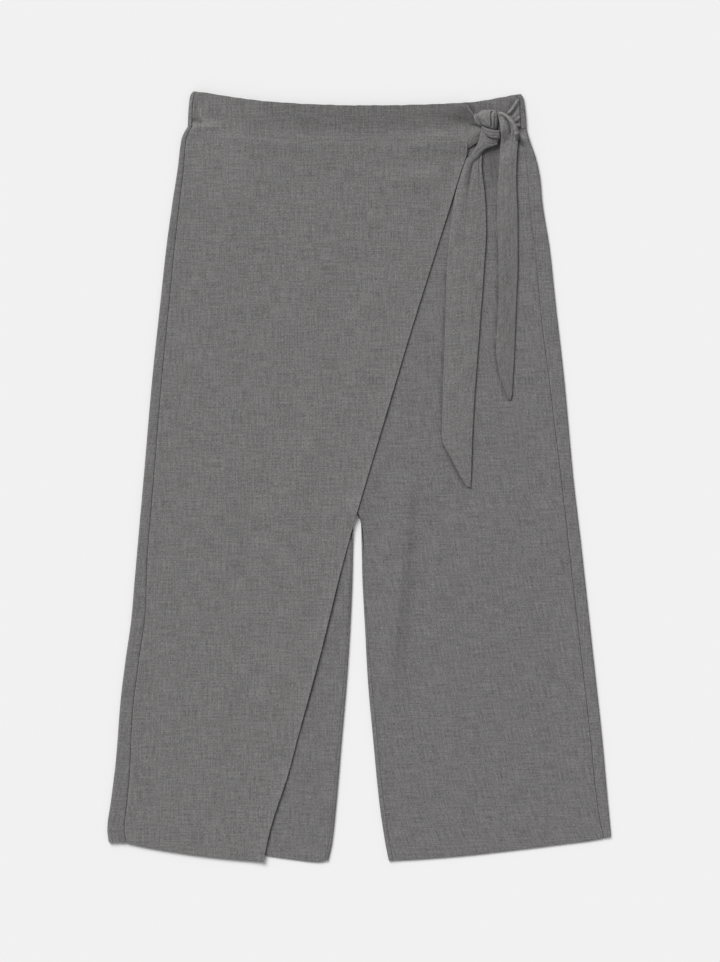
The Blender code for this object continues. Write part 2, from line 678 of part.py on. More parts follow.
def swept_band(name, rings, pleats, collection):
    """A closed band of folded cloth along a path: pleated flat rings, bridged, with both ends capped."""
    centres = [spot(ring.across, ring.down, ring.height) for ring in rings]
    bm = bmesh.new()
    loops = []
    for i, ring in enumerate(rings):
        ahead = (centres[min(i + 1, len(rings) - 1)] - centres[max(i - 1, 0)]).normalized()
        heading = Matrix.Rotation(math.radians(ring.heading), 3, "Z")
        side = Matrix.Rotation(math.radians(ring.tilt), 3, ahead) @ (heading @ Vector((1, 0, 0)))
        out = ahead.cross(side).normalized()
        verts = []
        for k in range(RING_POINTS):
            angle = 2 * math.pi * k / RING_POINTS
            wide, thick = math.cos(angle), math.sin(angle)
            if thick > 0:
                thick *= 1 - sum(
                    pleat.depth * math.exp(-(((wide - pleat.place) / pleat.width) ** 2))
                    for pleat in pleats
                )
            offset = side * (wide * ring.width / 2) + out * (thick * ring.thick / 2)
            verts.append(bm.verts.new(centres[i] + offset * MM))
        loops.append(verts)
    for a, b in zip(loops, loops[1:]):
        for k in range(RING_POINTS):
            n = (k + 1) % RING_POINTS
            bm.faces.new((a[k], a[n], b[n], b[k]))
    bm.faces.new(loops[0][::-1])
    bm.faces.new(loops[-1])
    bmesh.ops.recalc_face_normals(bm, faces=bm.faces)
    return finish(name, bm, collection)


def knot(collection, helpers):
    """The knot is one solid: its bands joined over the ties' crossing inside."""
    bm = bmesh.new()
    bmesh.ops.create_uvsphere(
        bm, u_segments=KNOT_CORE_SEGMENTS, v_segments=KNOT_CORE_RINGS, radius=1.0
    )
    bmesh.ops.scale(bm, vec=KNOT_CORE_SIZE * MM, verts=bm.verts)
    bmesh.ops.translate(bm, vec=spot(*KNOT_CORE), verts=bm.verts)
    core = finish("knot", bm, collection)
    bands = (
        ("knot_loop", KNOT_LOOP, LOOP_PLEATS),
        ("knot_cross", KNOT_CROSS, CROSS_PLEATS),
        ("knot_neck", KNOT_NECK, NECK_PLEATS),
    )
    for name, rings, pleats in bands:
        band = swept_band(name, rings, pleats, helpers)
        band.hide_render = True
        band.display_type = "WIRE"
        join = core.modifiers.new(name, "BOOLEAN")
        join.operation = "UNION"
        join.solver = "EXACT"
        join.object = band


def main():
    for old in list(bpy.data.objects):
        bpy.data.objects.remove(old)
    pants = bpy.data.collections.new("wrap_pants")
    helpers = bpy.data.collections.new("helpers")
    bpy.context.scene.collection.children.link(pants)
    bpy.context.scene.collection.children.link(helpers)
    left = Leg(1, LEFT_EDGE, LEFT_INSEAM, LEFT_SEAM, LEFT_HEM, INSEAM_INSET_LEFT, wrap_level)
    right = Leg(-1, RIGHT_EDGE, RIGHT_INSEAM, RIGHT_SEAM, RIGHT_HEM, INSEAM_INSET_RIGHT, front_level)
    leg_panels(left, "left", pants)
    leg_panels(right, "right", pants)
    back_waistband(left, right, pants)
    front_waistband(left, right, pants)
    wrap_panel(left, pants)
    ties(pants)
    knot(pants, helpers)


main()
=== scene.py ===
import math

import bpy
import numpy as np
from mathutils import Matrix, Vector


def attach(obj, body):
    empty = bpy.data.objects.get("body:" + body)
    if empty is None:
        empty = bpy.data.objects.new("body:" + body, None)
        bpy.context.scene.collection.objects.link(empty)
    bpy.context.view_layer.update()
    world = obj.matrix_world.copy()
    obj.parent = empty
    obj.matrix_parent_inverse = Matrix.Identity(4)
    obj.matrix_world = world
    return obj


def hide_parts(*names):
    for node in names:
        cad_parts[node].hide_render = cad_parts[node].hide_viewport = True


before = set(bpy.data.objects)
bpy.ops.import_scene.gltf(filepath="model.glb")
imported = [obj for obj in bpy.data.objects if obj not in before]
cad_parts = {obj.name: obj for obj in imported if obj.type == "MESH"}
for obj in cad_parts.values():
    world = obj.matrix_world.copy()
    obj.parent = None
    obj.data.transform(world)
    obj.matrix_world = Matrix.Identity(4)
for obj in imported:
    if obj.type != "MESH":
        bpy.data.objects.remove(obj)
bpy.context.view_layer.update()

# Wide-leg wrap pants in grey suiting, laid flat. Cloth is drawn in millimetres: across runs to the right from
# the centre seam, down runs from the waist's highest corner to the hems, height is above the floor.
mm = 0.001

# How the cloth is cut and how it lies, with the same main sizes as its solids
cloth = {
    "wall": 1.0,            # a single layer with its turned edges
    "bandWall": 1.6,        # two layers and elastic
    "seamGap": 0.3,
    "waistGap": 0.25,
    "backLevel": 0.5,       # the middle of each layer's wall
    "frontLevel": 1.9,
    "backBandLevel": 0.8,
    "frontBandLevel": 2.8,
    "wrapOverFront": 1.4,
    "wrapOverBand": 1.7,
    "sidePuff": 1.1,
    "inseamPuff": 1.0,
    "waistPuff": 0.9,
    "puffReach": 12.0,
    "waistReach": 18.0,
    "bandHeight": 42.0,
    "crotch": 505.0,
    "crotchTurn": 50.0,
    "backCrotch": 507.0,    # the back's crotch hangs lower and shows in the gap
    "backWeb": 9.0,         # and spreads this far down
    "bandInsetLeft": 4.6,
    "bandInsetRight": 7.0,
    "legTop": 59.4,         # where the centre seam meets the waistband
    "gridStep": 4.2,        # the size of the cloth's faces away from its edges
    "foldStart": 6.0,       # the front's folds begin over this length below the waistband
    "bandRest": 1.0,        # the wrap clears the band this far below it, and then comes down to the panel
    "bandStep": 8.0,
    "tieGap": 0.4,          # from the front up to what is tied over it
    "tieHalf": 1.0,         # and half the thickness of a free end
    "foldSteps": 12,        # faces round a fold from front to back
    "foldAt": 3.0,          # how far in from an edge the height of its fold is read
    "hair": 0.1,            # a small clearance
}


def smooth(t):
    t = np.clip(t, 0.0, 1.0)
    return t * t * (3 - 2 * t)


def mix(a, b, t):
    return a + (b - a) * t


def curve(points):
    # reads a short table on a smooth line that never overshoots its values
    keys, values = np.array(points, float).T
    steps = np.diff(keys)
    slopes = np.diff(values) / steps
    before, after = slopes[:-1], slopes[1:]
    same = before * after > 0
    middle = np.where(same, 2 * before * after / np.where(same, before + after, 1.0), 0.0)
    slopes = np.concatenate((slopes[:1], middle, slopes[-1:]))

    def read(where):
        where = np.clip(where, keys[0], keys[-1])
        i = np.clip(np.searchsorted(keys, where, side="right") - 1, 0, len(steps) - 1)
        t = (where - keys[i]) / steps[i]
        ends = values[i] * (1 + 2 * t) * (1 - t) ** 2 + values[i + 1] * t * t * (3 - 2 * t)
        return ends + steps[i] * (slopes[i] * t * (1 - t) ** 2 - slopes[i + 1] * t * t * (1 - t))

    return read


def rowCurve(table, column):
    return curve([(i, row[column]) for i, row in enumerate(table)])


# The garment's lines: (down, across) for edges, (down, how far in) for seams, (down, how wide) for the seam
# gap, (across, down) for the waist and hems, and (share of the band's height, across) for the band's ends
leftLeg = {
    "side": 1,
    "edge": [
        (43.2, -203.0), (50.4, -207.4), (58.8, -210.7), (94.8, -215.3), (130.8, -220.9),
        (190.8, -229.1), (250.8, -235.6), (346.8, -245.8), (466.8, -256.2), (586.8, -266.8),
        (634.8, -270.9), (682.8, -277.7), (730.8, -283.6), (802.8, -289.3), (850.8, -295.1),
        (886.8, -299.6), (901.2, -298.0),
    ],
    "inseam": [
        (505.0, -0.5), (512.0, -3.0), (522.0, -4.2), (586.8, -5.8), (634.8, -7.9),
        (706.8, -12.4), (778.8, -18.6), (850.8, -24.6), (901.2, -30.0), (922.0, -34.4),
    ],
    "seam": [
        (43.0, 5.0), (77.0, 6.4), (125.0, 8.2), (220.0, 10.3), (410.0, 11.8), (557.0, 12.6),
        (620.0, 15.8), (700.0, 16.0), (750.0, 15.6), (845.0, 19.3), (901.0, 21.0),
    ],
    "hem": [
        (-298.0, 901.2), (-277.0, 901.4), (-240.0, 906.0), (-200.0, 910.0), (-150.0, 914.0),
        (-110.0, 917.4), (-80.0, 921.4), (-46.0, 924.8), (-34.4, 922.0),
    ],
    "inseamInset": [(505.0, 2.2), (640.0, 2.4), (740.0, 3.8), (922.0, 4.0)],
    "seamDepth": 0.9,       # how sunk its side seam looks, how round its edges are, and how open it is
    "seamRound": 0.9,
    "seamGap": [(43.0, 0.3), (901.0, 0.3)],
}
rightLeg = {
    "side": -1,
    "edge": [
        (46.0, 203.3), (58.8, 206.9), (82.8, 215.0), (106.8, 219.7), (130.8, 221.8),
        (190.8, 231.2), (250.8, 237.6), (346.8, 248.4), (466.8, 259.5), (538.8, 268.0),
        (682.8, 283.7), (778.8, 294.1), (850.8, 300.6), (894.0, 304.7),
    ],
    "inseam": [
        (505.0, 0.5), (512.0, 3.4), (522.0, 4.8), (586.8, 6.5), (634.8, 9.1), (706.8, 13.0),
        (778.8, 19.4), (850.8, 26.4), (901.2, 33.7), (923.2, 38.0),
    ],
    "seam": [
        (46.0, 7.5), (80.0, 12.0), (119.0, 14.6), (191.0, 17.4), (287.0, 18.8), (383.0, 16.9),
        (479.0, 14.3), (575.0, 14.7), (671.0, 14.0), (815.0, 13.6), (863.0, 12.3), (894.0, 9.0),
    ],
    "hem": [
        (38.0, 923.2), (64.0, 922.2), (100.0, 919.8), (136.0, 916.6), (172.0, 912.6),
        (208.0, 908.4), (244.0, 903.8), (280.0, 899.2), (304.7, 894.0),
    ],
    "inseamInset": [(505.0, 2.2), (640.0, 2.6), (740.0, 5.2), (922.0, 5.5)],
    "seamDepth": 0.3,
    "seamRound": 0.3,
    "seamGap": [(46.0, 0.02), (90.0, 0.03), (190.0, 0.2), (300.0, 0.34), (894.0, 0.38)],
}
lines = {
    "waist": [
        (-201.0, 0.6), (-188.0, 1.4), (-170.0, 4.1), (-134.0, 9.6), (-98.0, 13.4), (-44.0, 16.4),
        (0.0, 17.4), (44.0, 17.2), (100.0, 15.6), (131.0, 14.0), (154.0, 11.2), (172.0, 7.9),
        (190.0, 4.6), (201.0, 3.2),
    ],
    "bandLeft": [(0.0, -196.4), (0.12, -200.0), (0.4, -201.8), (0.7, -202.6), (1.0, -203.0)],
    "bandRight": [(0.0, 196.6), (0.12, 199.6), (0.4, 201.4), (0.7, 202.6), (1.0, 203.3)],
    "wrapEdge": [
        (14.6, 131.4), (40.0, 132.0), (69.6, 132.5), (100.8, 123.6), (196.8, 93.6), (292.8, 63.6),
        (388.8, 35.0), (484.8, 6.4), (532.8, -7.4), (580.8, -20.4), (676.8, -44.0), (772.8, -70.1),
        (820.8, -82.8), (868.8, -98.8), (892.8, -105.6), (924.6, -112.1),
    ],
    "wrapHem": [
        (-277.0, 901.8), (-260.0, 905.8), (-236.0, 910.2), (-212.0, 914.0), (-188.0, 917.4),
        (-152.0, 921.4), (-112.1, 924.6),
    ],
}
waist = curve(lines["waist"])
bandLeft, bandRight = curve(lines["bandLeft"]), curve(lines["bandRight"])
wrapEdge, wrapHem = curve(lines["wrapEdge"]), curve(lines["wrapHem"])
leftEdge, rightEdge = curve(leftLeg["edge"]), curve(rightLeg["edge"])
leftInseam, rightInseam = curve(leftLeg["inseam"]), curve(rightLeg["inseam"])
middleAcross = (min(a for d, a in leftLeg["edge"]) + max(a for d, a in rightLeg["edge"])) / 2
middleDown = (min(d for a, d in lines["waist"]) + max(d for a, d in leftLeg["hem"])) / 2

# Soft folds, each laid along a short path of (across, down). Wide is how far it fades on each side of
# its path, first the side on the left of a path going down the cloth. High is how far it stands up or sinks.
# Shade is painted light on the fold: how much paler its colour is made, a painted highlight, or how much
# darker, a painted shade or a painted shadow line beside an edge. Fade is the share of its length over which
# it begins and ends.
def fold(path, wide, high=0.0, shade=0.0, fade=(0.15, 0.5)):
    return {"path": path, "wide": wide, "high": high, "shade": shade, "fade": fade}


frontFolds = [
    # the hip fold: a painted highlight on its ridge and a painted shade in the hollow below it
    fold([(190, 50), (194, 52.5), (199, 56), (204, 62), (209, 71)], (3.0, 3.4), 4.4, shade=0.34,
         fade=(0.05, 0.5)),
    fold([(190, 58), (195, 61.4), (199, 64), (203, 67)], (1.8, 1.3), -2.0, shade=-0.34, fade=(0.05, 0.3)),
    # painted shade between the two tails, then painted shadow lines beside the tails' left edges
    fold([(161, 60), (162, 84), (161, 110), (160, 160)], (9, 9), shade=-0.3, fade=(0.05, 0.6)),
    fold([(110.2, 185), (106.8, 221), (104.6, 290), (102, 350), (101.0, 406)], (1.7, 3.0), shade=-0.32,
         fade=(0.25, 0.05)),
    fold([(101.0, 400), (101.6, 419), (110.4, 438.6)], (1.7, 3.0), shade=-0.3, fade=(0.1, 0.1)),
    fold([(108, 434), (120.2, 458), (131.4, 478)], (2.2, 3.0), shade=-0.42, fade=(0.1, 0.1)),
    fold([(167.4, 140), (168.8, 203), (168.8, 246), (166.6, 292), (166.0, 313)], (1.7, 3.0), shade=-0.35,
         fade=(0.2, 0.05)),
    fold([(166.0, 308), (168.4, 332), (173.0, 349), (181, 372)], (1.9, 3.0), shade=-0.36, fade=(0.1, 0.1)),
    fold([(198, 62), (204, 84), (205, 120), (208, 190)], (5, 9), 1.2),
    fold([(209, 66), (214, 90), (218, 130), (224, 210)], (4, 3), 0.9),
    fold([(156, 66), (161, 110), (160, 215)], (7, 4), 0.9),
    fold([(128, 60), (112, 90), (104, 130)], (9, 8), -0.5),
    fold([(30, 440), (10, 480), (2, 502), (-3, 516)], (14, 12), 2.2, fade=(0.5, 0.12)),
    fold([(66, 450), (54, 590), (46, 662), (36, 780)], (26, 9), 2.6, fade=(0.1, 0.4)),
    # a painted shade along this hollow
    fold([(72, 440), (62, 570), (54, 662), (44, 790)], (7, 9), -0.5, shade=-0.05),
    fold([(96, 500), (98, 600), (90, 720)], (11, 26), 1.3),
    fold([(150, 480), (160, 620), (176, 800)], (24, 30), 1.1),
    fold([(84, 130), (90, 240), (92, 380)], (14, 20), -0.5),
    fold([(232, 400), (240, 560), (262, 760)], (10, 14), 0.9),
    fold([(206, 230), (214, 330), (228, 470)], (9, 12), 0.7),
    fold([(30, 640), (50, 740), (66, 900)], (9, 12), 0.6),
    fold([(120, 690), (116, 800), (128, 910)], (12, 9), 0.7),
    fold([(-70, 620), (-62, 760), (-72, 900)], (9, 12), 0.6),
]
wrapFolds = [
    # painted light: shade in the valleys by the knot and in the left corner's notch, highlights on the
    # puckers and ridges, and a broad paler patch towards the upper left
    fold([(152, 40), (138, 38), (122, 35), (102, 30), (72, 27)], (9, 6), -2.4, shade=-0.2, fade=(0.1, 0.6)),
    fold([(146, 41), (137, 41.5), (126, 40), (112, 35)], (2.2, 1.0), -1.0, shade=-0.08),
    fold([(156, 24), (136, 19), (120, 18), (80, 17)], (7, 9), 1.4, fade=(0.1, 0.5)),
    fold([(126, 30.6), (117, 29), (108, 26.5), (96, 26)], (1.6, 2.0), 1.0),
    fold([(152, 57), (116, 57), (76, 58), (10, 60)], (9, 14), 3.0),
    fold([(134, 49), (118, 48.4), (98, 50)], (2.8, 3.4), 1.0),
    fold([(10, 59), (-60, 58), (-130, 54)], (9, 12), 1.2, fade=(0.3, 0.5)),
    fold([(134, 71), (112, 72), (92, 76)], (3.5, 6.0), 0.9),
    fold([(114, 99), (84, 103), (50, 105), (10, 111)], (8, 14), 2.2),
    fold([(108, 112), (84, 140), (66, 200)], (14, 8), 0.8),
    fold([(-186, 38.6), (-190, 36.8), (-198, 36.0)], (1.4, 1.9), -2.8, shade=-0.42, fade=(0.2, 0.05)),
    fold([(-190, 17), (-187, 26), (-183, 36), (-177, 42)], (2.8, 3.4), 1.8, shade=0.24, fade=(0.3, 0.2)),
    fold([(-196, 20), (-193, 27), (-188, 34)], (2.0, 2.2), -1.2, shade=-0.08, fade=(0.3, 0.2)),
    fold([(-158, 40), (-174, 43), (-186, 43), (-197, 43)], (3.4, 5.0), 2.2, shade=0.16, fade=(0.5, 0.05)),
    fold([(-90, 40), (-150, 50), (-172, 90), (-180, 170)], (50, 40), shade=0.09, fade=(0.5, 0.5)),
    fold([(120, 48), (40, 47), (-60, 46)], (7, 7), shade=0.05),
    fold([(-188, 60), (-186, 90), (-196, 150)], (9, 12), 0.8),
    fold([(-60, 110), (-50, 220), (-70, 330)], (34, 28), 1.3),
    fold([(-150, 90), (-160, 200), (-190, 330)], (22, 26), 1.0),
    fold([(30, 210), (14, 300), (-16, 400)], (16, 22), 1.0),
    fold([(-40, 400), (-90, 520), (-110, 640)], (26, 18), 1.0),
    fold([(-180, 430), (-160, 520), (-170, 640)], (18, 24), 0.9),
    fold([(-60, 560), (-92, 680), (-130, 840)], (13, 18), 1.1),
    fold([(-230, 620), (-216, 720), (-226, 850)], (12, 16), 0.8),
    fold([(-150, 700), (-170, 780), (-176, 880)], (16, 12), 0.8),
]
backFolds = [
    fold([(-150, 90), (-168, 260), (-160, 420)], (8, 6), 0.34),
    fold([(-60, 80), (-76, 190), (-58, 330)], (7, 9), 0.32),
    fold([(40, 90), (58, 220), (44, 360)], (9, 6), 0.34),
    fold([(140, 80), (150, 240), (168, 430)], (6, 8), 0.33),
    fold([(16, 470), (70, 560), (110, 700), (120, 860)], (8, 7), 0.35),
    fold([(-14, 480), (-60, 590), (-96, 720), (-110, 840)], (7, 9), 0.34),
    fold([(200, 520), (214, 680), (226, 850)], (7, 6), 0.3),
    fold([(-190, 560), (-214, 700), (-210, 860)], (6, 8), 0.32),
    fold([(-120, 300), (-20, 330), (90, 300)], (6, 7), 0.22),
]


def foldPath(points, steps=12):
    # the fold's path as a smooth line through its few points
    points = np.array(points, float)
    keys = np.linspace(0, 1, len(points))
    t = np.linspace(0, 1, steps + 1)
    return np.stack([curve(list(zip(keys, points[:, k])))(t) for k in range(2)], axis=1)


def foldHeight(across, down, folds, key="high"):
    total = np.zeros(np.broadcast(across, down).shape)
    for one in folds:
        if one[key] == 0:
            continue
        path = foldPath(one["path"])
        near = np.full(total.shape, np.inf)
        along, side = np.zeros(total.shape), np.zeros(total.shape)
        for i in range(len(path) - 1):
            run = path[i + 1] - path[i]
            x, y = across - path[i][0], down - path[i][1]
            t = np.clip((x * run[0] + y * run[1]) / (run @ run), 0, 1)
            apart = np.hypot(x - t * run[0], y - t * run[1])
            closer = apart < near
            near = np.where(closer, apart, near)
            along = np.where(closer, (i + t) / (len(path) - 1), along)
            side = np.where(closer, x * run[1] - y * run[0], side)
        width = np.where(side < 0, one["wide"][0], one["wide"][1])
        fadeIn, fadeOut = one["fade"]
        fade = smooth(along / fadeIn) * smooth((1 - along) / fadeOut)
        total = total + one[key] * fade * np.exp(-((near / width) ** 2))
    return total


# Heights of the layers
def bandBottom(across):
    return waist(across) + cloth["bandHeight"]


def crotchTurn(down):
    return smooth((down - cloth["crotch"]) / cloth["crotchTurn"])


def outerSides(across, down):
    share = 1 + (down - bandBottom(across)) / cloth["bandHeight"]
    left = np.where(share < 1, bandLeft(share), leftEdge(down))
    right = np.where(share < 1, bandRight(share), rightEdge(down))
    return left, right


def frontBase(across, down):
    # the middle of the front layer, be it waistband or panel, without its folds
    left, right = outerSides(across, down)
    side = np.exp(-np.maximum(np.minimum(across - left, right - across), 0) / cloth["puffReach"])
    below = down - bandBottom(across)
    inseam = np.where(across < 0, leftInseam(down), rightInseam(down))
    toInseam = np.maximum(np.abs(across) - np.abs(inseam), 0)
    crotch = crotchTurn(down + cloth["crotchTurn"] / 2) * np.exp(-toInseam / cloth["puffReach"])
    waistPuff = np.exp(-np.maximum(below, 0) / cloth["waistReach"])
    panel = cloth["frontLevel"] + cloth["waistPuff"] * waistPuff + cloth["inseamPuff"] * crotch
    return np.where(below < 0, cloth["frontBandLevel"], panel) + cloth["sidePuff"] * side


def frontLevel(across, down):
    below = down - bandBottom(across)
    return frontBase(across, down) + smooth(below / cloth["foldStart"]) * foldHeight(across, down, frontFolds)


def nearBand(across, down):
    return smooth(1 - (down - bandBottom(across) - cloth["bandRest"]) / cloth["bandStep"])


wrapShape = {
    "topStand": 2.4,        # the waist's top edge stands up this much
    "bellyStand": 1.3,      # the cloth swells below the waistband's seam
    "bellyRise": 9.0,
    "bellyReach": 50.0,
    "edgeCurl": 1.2,        # the free edge lifts a little, and more towards the hem
    "edgeLow": 0.8,
    "edgeReach": 8.0,
    "edgeStart": 60.0,      # the lift begins over this length below the waistband
    "lowStart": 480.0,      # and grows from here on
    "lowLength": 160.0,
    "rowGap": 0.4,          # between the band's last row and the leg's next one
    "spare": 1.15,          # its rows have faces enough for this many times their mean width
    "scallopEnd": 20.0,
    # how uneven its lift is: share, length for each radian, start
    "waves": [(0.25, 47.0, 0.0), (0.15, 19.0, 1.0)],
    "sewn": (0.9, 0.5, 1.0, 1.0),
}


def wrapLevel(across, down):
    below = down - bandBottom(across)
    band = wrapShape["topStand"] * smooth(-below / cloth["bandHeight"])
    rise, reach = wrapShape["bellyRise"], wrapShape["bellyReach"]
    belly = wrapShape["bellyStand"] * smooth(below / rise) * np.exp(-np.maximum(below - rise, 0) / reach)
    toEdge = np.maximum(wrapEdge(down) - across, 0)
    uneven = 1.0 + sum(share * np.sin(down / length + start) for share, length, start in wrapShape["waves"])
    lower = smooth((down - wrapShape["lowStart"]) / wrapShape["lowLength"])
    curl = wrapShape["edgeCurl"] + wrapShape["edgeLow"] * lower
    curl = curl * uneven * np.exp(-toEdge / wrapShape["edgeReach"]) * smooth(below / wrapShape["edgeStart"])
    clear = mix(cloth["wrapOverFront"], cloth["wrapOverBand"], nearBand(across, down))
    return frontLevel(across, down) + clear + band + belly + curl + foldHeight(across, down, wrapFolds)


def topOfFront(across, down):
    wall = mix(cloth["wall"], cloth["bandWall"], nearBand(across, down))
    return frontLevel(across, down) + wall / 2


# The gathers' ripples: share, length for each radian, how far it wanders, the same length for that, start
gatherWaves = [(0.5, 3.3, 1.4, 23.0, 0.0), (0.3, 1.9, 2.0, 17.0, 1.0), (0.2, 8.1, 0.0, 1.0, 0.0)]


def gathers(across):
    # the small uneven ripples of cloth gathered onto elastic
    return sum(
        share * np.sin(across / length + wander * np.sin(across / wanderLength) + start)
        for share, length, wander, wanderLength, start in gatherWaves
    )


seamLook = {
    "dip": 0.42,
    "dipReach": 0.9,
    "puff": 0.22,
    "puffLeast": 0.3,       # the share of the swelling that stays at a shallow seam
    "puffAt": 3.4,
    "puffWide": 3.0,
    "pucker": 0.09,
    "puckerLength": 2.3,
    "puckerReach": 5.0,
    "puckerWander": (2.0, 31.0),
    "puckerUneven": (0.4, 57.0, 1.0),
}


def seamRelief(apart, along, deep=1.0):
    # beside a seam the cloth turns down into it, swells over the turnings and puckers a little
    look = seamLook
    dip = deep * look["dip"] * np.exp(-((apart / look["dipReach"]) ** 2))
    swell = np.exp(-(((apart - look["puffAt"]) / look["puffWide"]) ** 2))
    puff = mix(look["puffLeast"], 1.0, deep) * look["puff"] * swell
    wander, wanderLength = look["puckerWander"]
    uneven, unevenLength, start = look["puckerUneven"]
    ripple = np.sin(along / look["puckerLength"] + wander * np.sin(along / wanderLength))
    ripple = ripple * (1 - uneven + uneven * np.sin(along / unevenLength + start))
    return puff - dip + look["pucker"] * ripple * np.exp(-apart / look["puckerReach"])


# Making pieces
edgeSteps = [0.0, 0.05, 0.18, 0.34, 0.52, 0.9, 1.5, 2.4, 3.6, 5.2, 7.4, 10.4]
closeGap = 0.000002     # in metres, the points of touching edges that become one


def spreadPlaces(length):
    # places along a length, as (from the start, from the end, share of what lies between)
    last = edgeSteps[-1]
    count = max(1, round((length - last - last) / cloth["gridStep"]))
    places = [(step, last, 0.0) for step in edgeSteps]
    places += [(last, last, k / count) for k in range(1, count)]
    places += [(last, step, 1.0) for step in reversed(edgeSteps)]
    return np.array(places)


def layAcross(start, end, places):
    # start and end are one number for each row
    way = np.sign(np.mean(end - start))
    start, end = start[:, None], end[:, None]
    first = start + way * places[:, 0]
    last = end - way * places[:, 1]
    return mix(first, last, places[:, 2])


def shares(length):
    places = spreadPlaces(length)
    return mix(places[:, 0], length - places[:, 1], places[:, 2]) / length


def deselectAll():
    if bpy.context.object and bpy.context.object.mode != "OBJECT":
        bpy.ops.object.mode_set(mode="OBJECT")
    bpy.ops.object.select_all(action="DESELECT")


def gridPiece(name, points, flat, material, shade):
    # a grid whose points are laid where they belong, with touching edges closed
    rows, columns = points.shape[:2]
    deselectAll()
    bpy.ops.mesh.primitive_grid_add(x_subdivisions=columns - 1, y_subdivisions=rows - 1, size=2)
    piece = bpy.context.object
    piece.name = name
    mesh = piece.data
    mesh.name = name
    count = len(mesh.vertices)
    place = np.empty(count * 3)
    mesh.vertices.foreach_get("co", place)
    place = place.reshape(-1, 3)
    column = np.rint((place[:, 0] + 1) / 2 * (columns - 1)).astype(int)
    row = np.rint((1 - place[:, 1]) / 2 * (rows - 1)).astype(int)
    laid = points[row, column] * mm
    laid = np.stack((laid[:, 0] - middleAcross * mm, middleDown * mm - laid[:, 1], laid[:, 2]), axis=1)
    mesh.vertices.foreach_set("co", laid.ravel())
    # the shade attribute carries painted light and shade into the colour
    mesh.attributes.new("shade", "FLOAT", "POINT").data.foreach_set("value", shade[row, column])
    corner = np.empty(len(mesh.loops), int)
    mesh.loops.foreach_get("vertex_index", corner)
    clothMap = mesh.uv_layers[0]
    clothMap.name = "cloth"
    clothMap.data.foreach_set("uv", (flat[row, column][corner] * mm).ravel())
    bpy.ops.object.mode_set(mode="EDIT")
    bpy.ops.mesh.select_all(action="SELECT")
    bpy.ops.mesh.remove_doubles(threshold=closeGap)
    bpy.ops.mesh.normals_make_consistent(inside=False)
    bpy.ops.object.mode_set(mode="OBJECT")
    bpy.ops.object.shade_smooth()
    mesh.materials.clear()
    mesh.materials.append(material)
    return piece


def lengths(points, axis):
    steps = np.linalg.norm(np.diff(points, axis=axis), axis=2)
    start = np.zeros_like(np.take(steps, [0], axis=axis))
    return np.concatenate((start, np.cumsum(steps, axis=axis)), axis=axis)


def clothShell(name, middle, flat, wall, material, shade, sewn):
    # a wall of cloth round its middle, with all its edges rounded. Sewn is how round the first and last
    # column and the first and last row are: less than 1 where a seam holds the edge tight to its neighbour.
    byRow, byColumn = lengths(middle, 1), lengths(middle, 0)
    sides = (byRow, byRow[:, -1:] - byRow, byColumn, byColumn[-1:] - byColumn)
    edge = np.minimum.reduce([side / share for side, share in zip(sides, sewn)])
    rim = np.clip(edge / (wall / 2), 0, 1)
    half = wall / 2 * np.sqrt(1 - (1 - rim) ** 2)
    normal = np.cross(np.gradient(middle, axis=0), np.gradient(middle, axis=1))
    normal /= np.maximum(np.linalg.norm(normal, axis=2, keepdims=True), 1e-9)
    top = middle + normal * half[..., None]
    low = middle - normal * half[..., None]
    points = np.concatenate((top, low[:, ::-1]), axis=1)
    shade = np.concatenate((shade, shade[:, ::-1]), axis=1)
    return gridPiece(name, points, np.concatenate((flat, flat[:, ::-1]), axis=1), material, shade)


def layFlat(middle, anchor):
    # the weave's own map: across and down as the cloth was cut, measured round its folds from one column
    byRow = lengths(middle, 1)
    across = middle[:, anchor:anchor + 1, 0] + byRow - byRow[:, anchor:anchor + 1]
    return np.stack((across, -middle[..., 1]), axis=2)


def finishPiece(piece, node):
    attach(piece, "root")
    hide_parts(node)
    print("made", piece.name, len(piece.data.polygons), "faces")


# Materials
def addNode(tree, kind, **values):
    node = tree.nodes.new(kind)
    for key, value in values.items():
        setattr(node, key, value)
    return node


def calculate(tree, operation, first, second=None, third=None):
    node = addNode(tree, "ShaderNodeMath", operation=operation)
    for socket, value in zip(node.inputs, (first, second, third)):
        if value is None:
            continue
        if isinstance(value, (int, float)):
            socket.default_value = value
        else:
            tree.links.new(value, socket)
    return node.outputs[0]


def unitRange(tree, value):
    return calculate(tree, "MINIMUM", calculate(tree, "MAXIMUM", value, 0.0), 1.0)


def yarnNoise(tree, vector, look):
    # noise stretched along one way of the weave
    across, along, detail, offset = look
    place = addNode(tree, "ShaderNodeMapping")
    place.inputs["Scale"].default_value = (across, along, 1.0)
    place.inputs["Location"].default_value = (offset, offset * weave["startTurn"], 0.0)
    tree.links.new(vector, place.inputs["Vector"])
    noise = addNode(tree, "ShaderNodeTexNoise", noise_dimensions="2D")
    noise.inputs["Scale"].default_value = 1.0
    noise.inputs["Detail"].default_value = detail
    noise.inputs["Roughness"].default_value = weave["noiseRough"]
    tree.links.new(place.outputs["Vector"], noise.inputs["Vector"])
    return noise.outputs["Fac"]


weave = {
    # noise waves in a metre across and along the cloth, then their detail and where they start
    "warpStreak": (600.0, 40.0, 2.0, 3.1),
    "weftStreak": (36.0, 570.0, 2.0, 11.7),
    "warpFleck": (1150.0, 330.0, 1.0, 5.3),     # light and dark lengths of yarn, of which the upper one shows
    "weftFleck": (330.0, 1150.0, 1.0, 15.9),
    "cloud": (22.0, 16.0, 1.0, 8.9),
    "tint": (300.0, 140.0, 1.0, 21.3),
    "startTurn": 1.7,           # how much further along the cloth it starts than across it
    "noiseRough": 0.6,
    "cloudAmount": 0.04,
    "yarnsPerMetre": 1500.0,
    "crossingEdge": 2.5,        # how sharply one yarn gives way to the other
    "yarnHeight": 0.6,
    "yarnBase": 0.2,
    "streakHeight": 0.45,
    "roughDark": 0.92,
    "roughLight": 0.8,
}


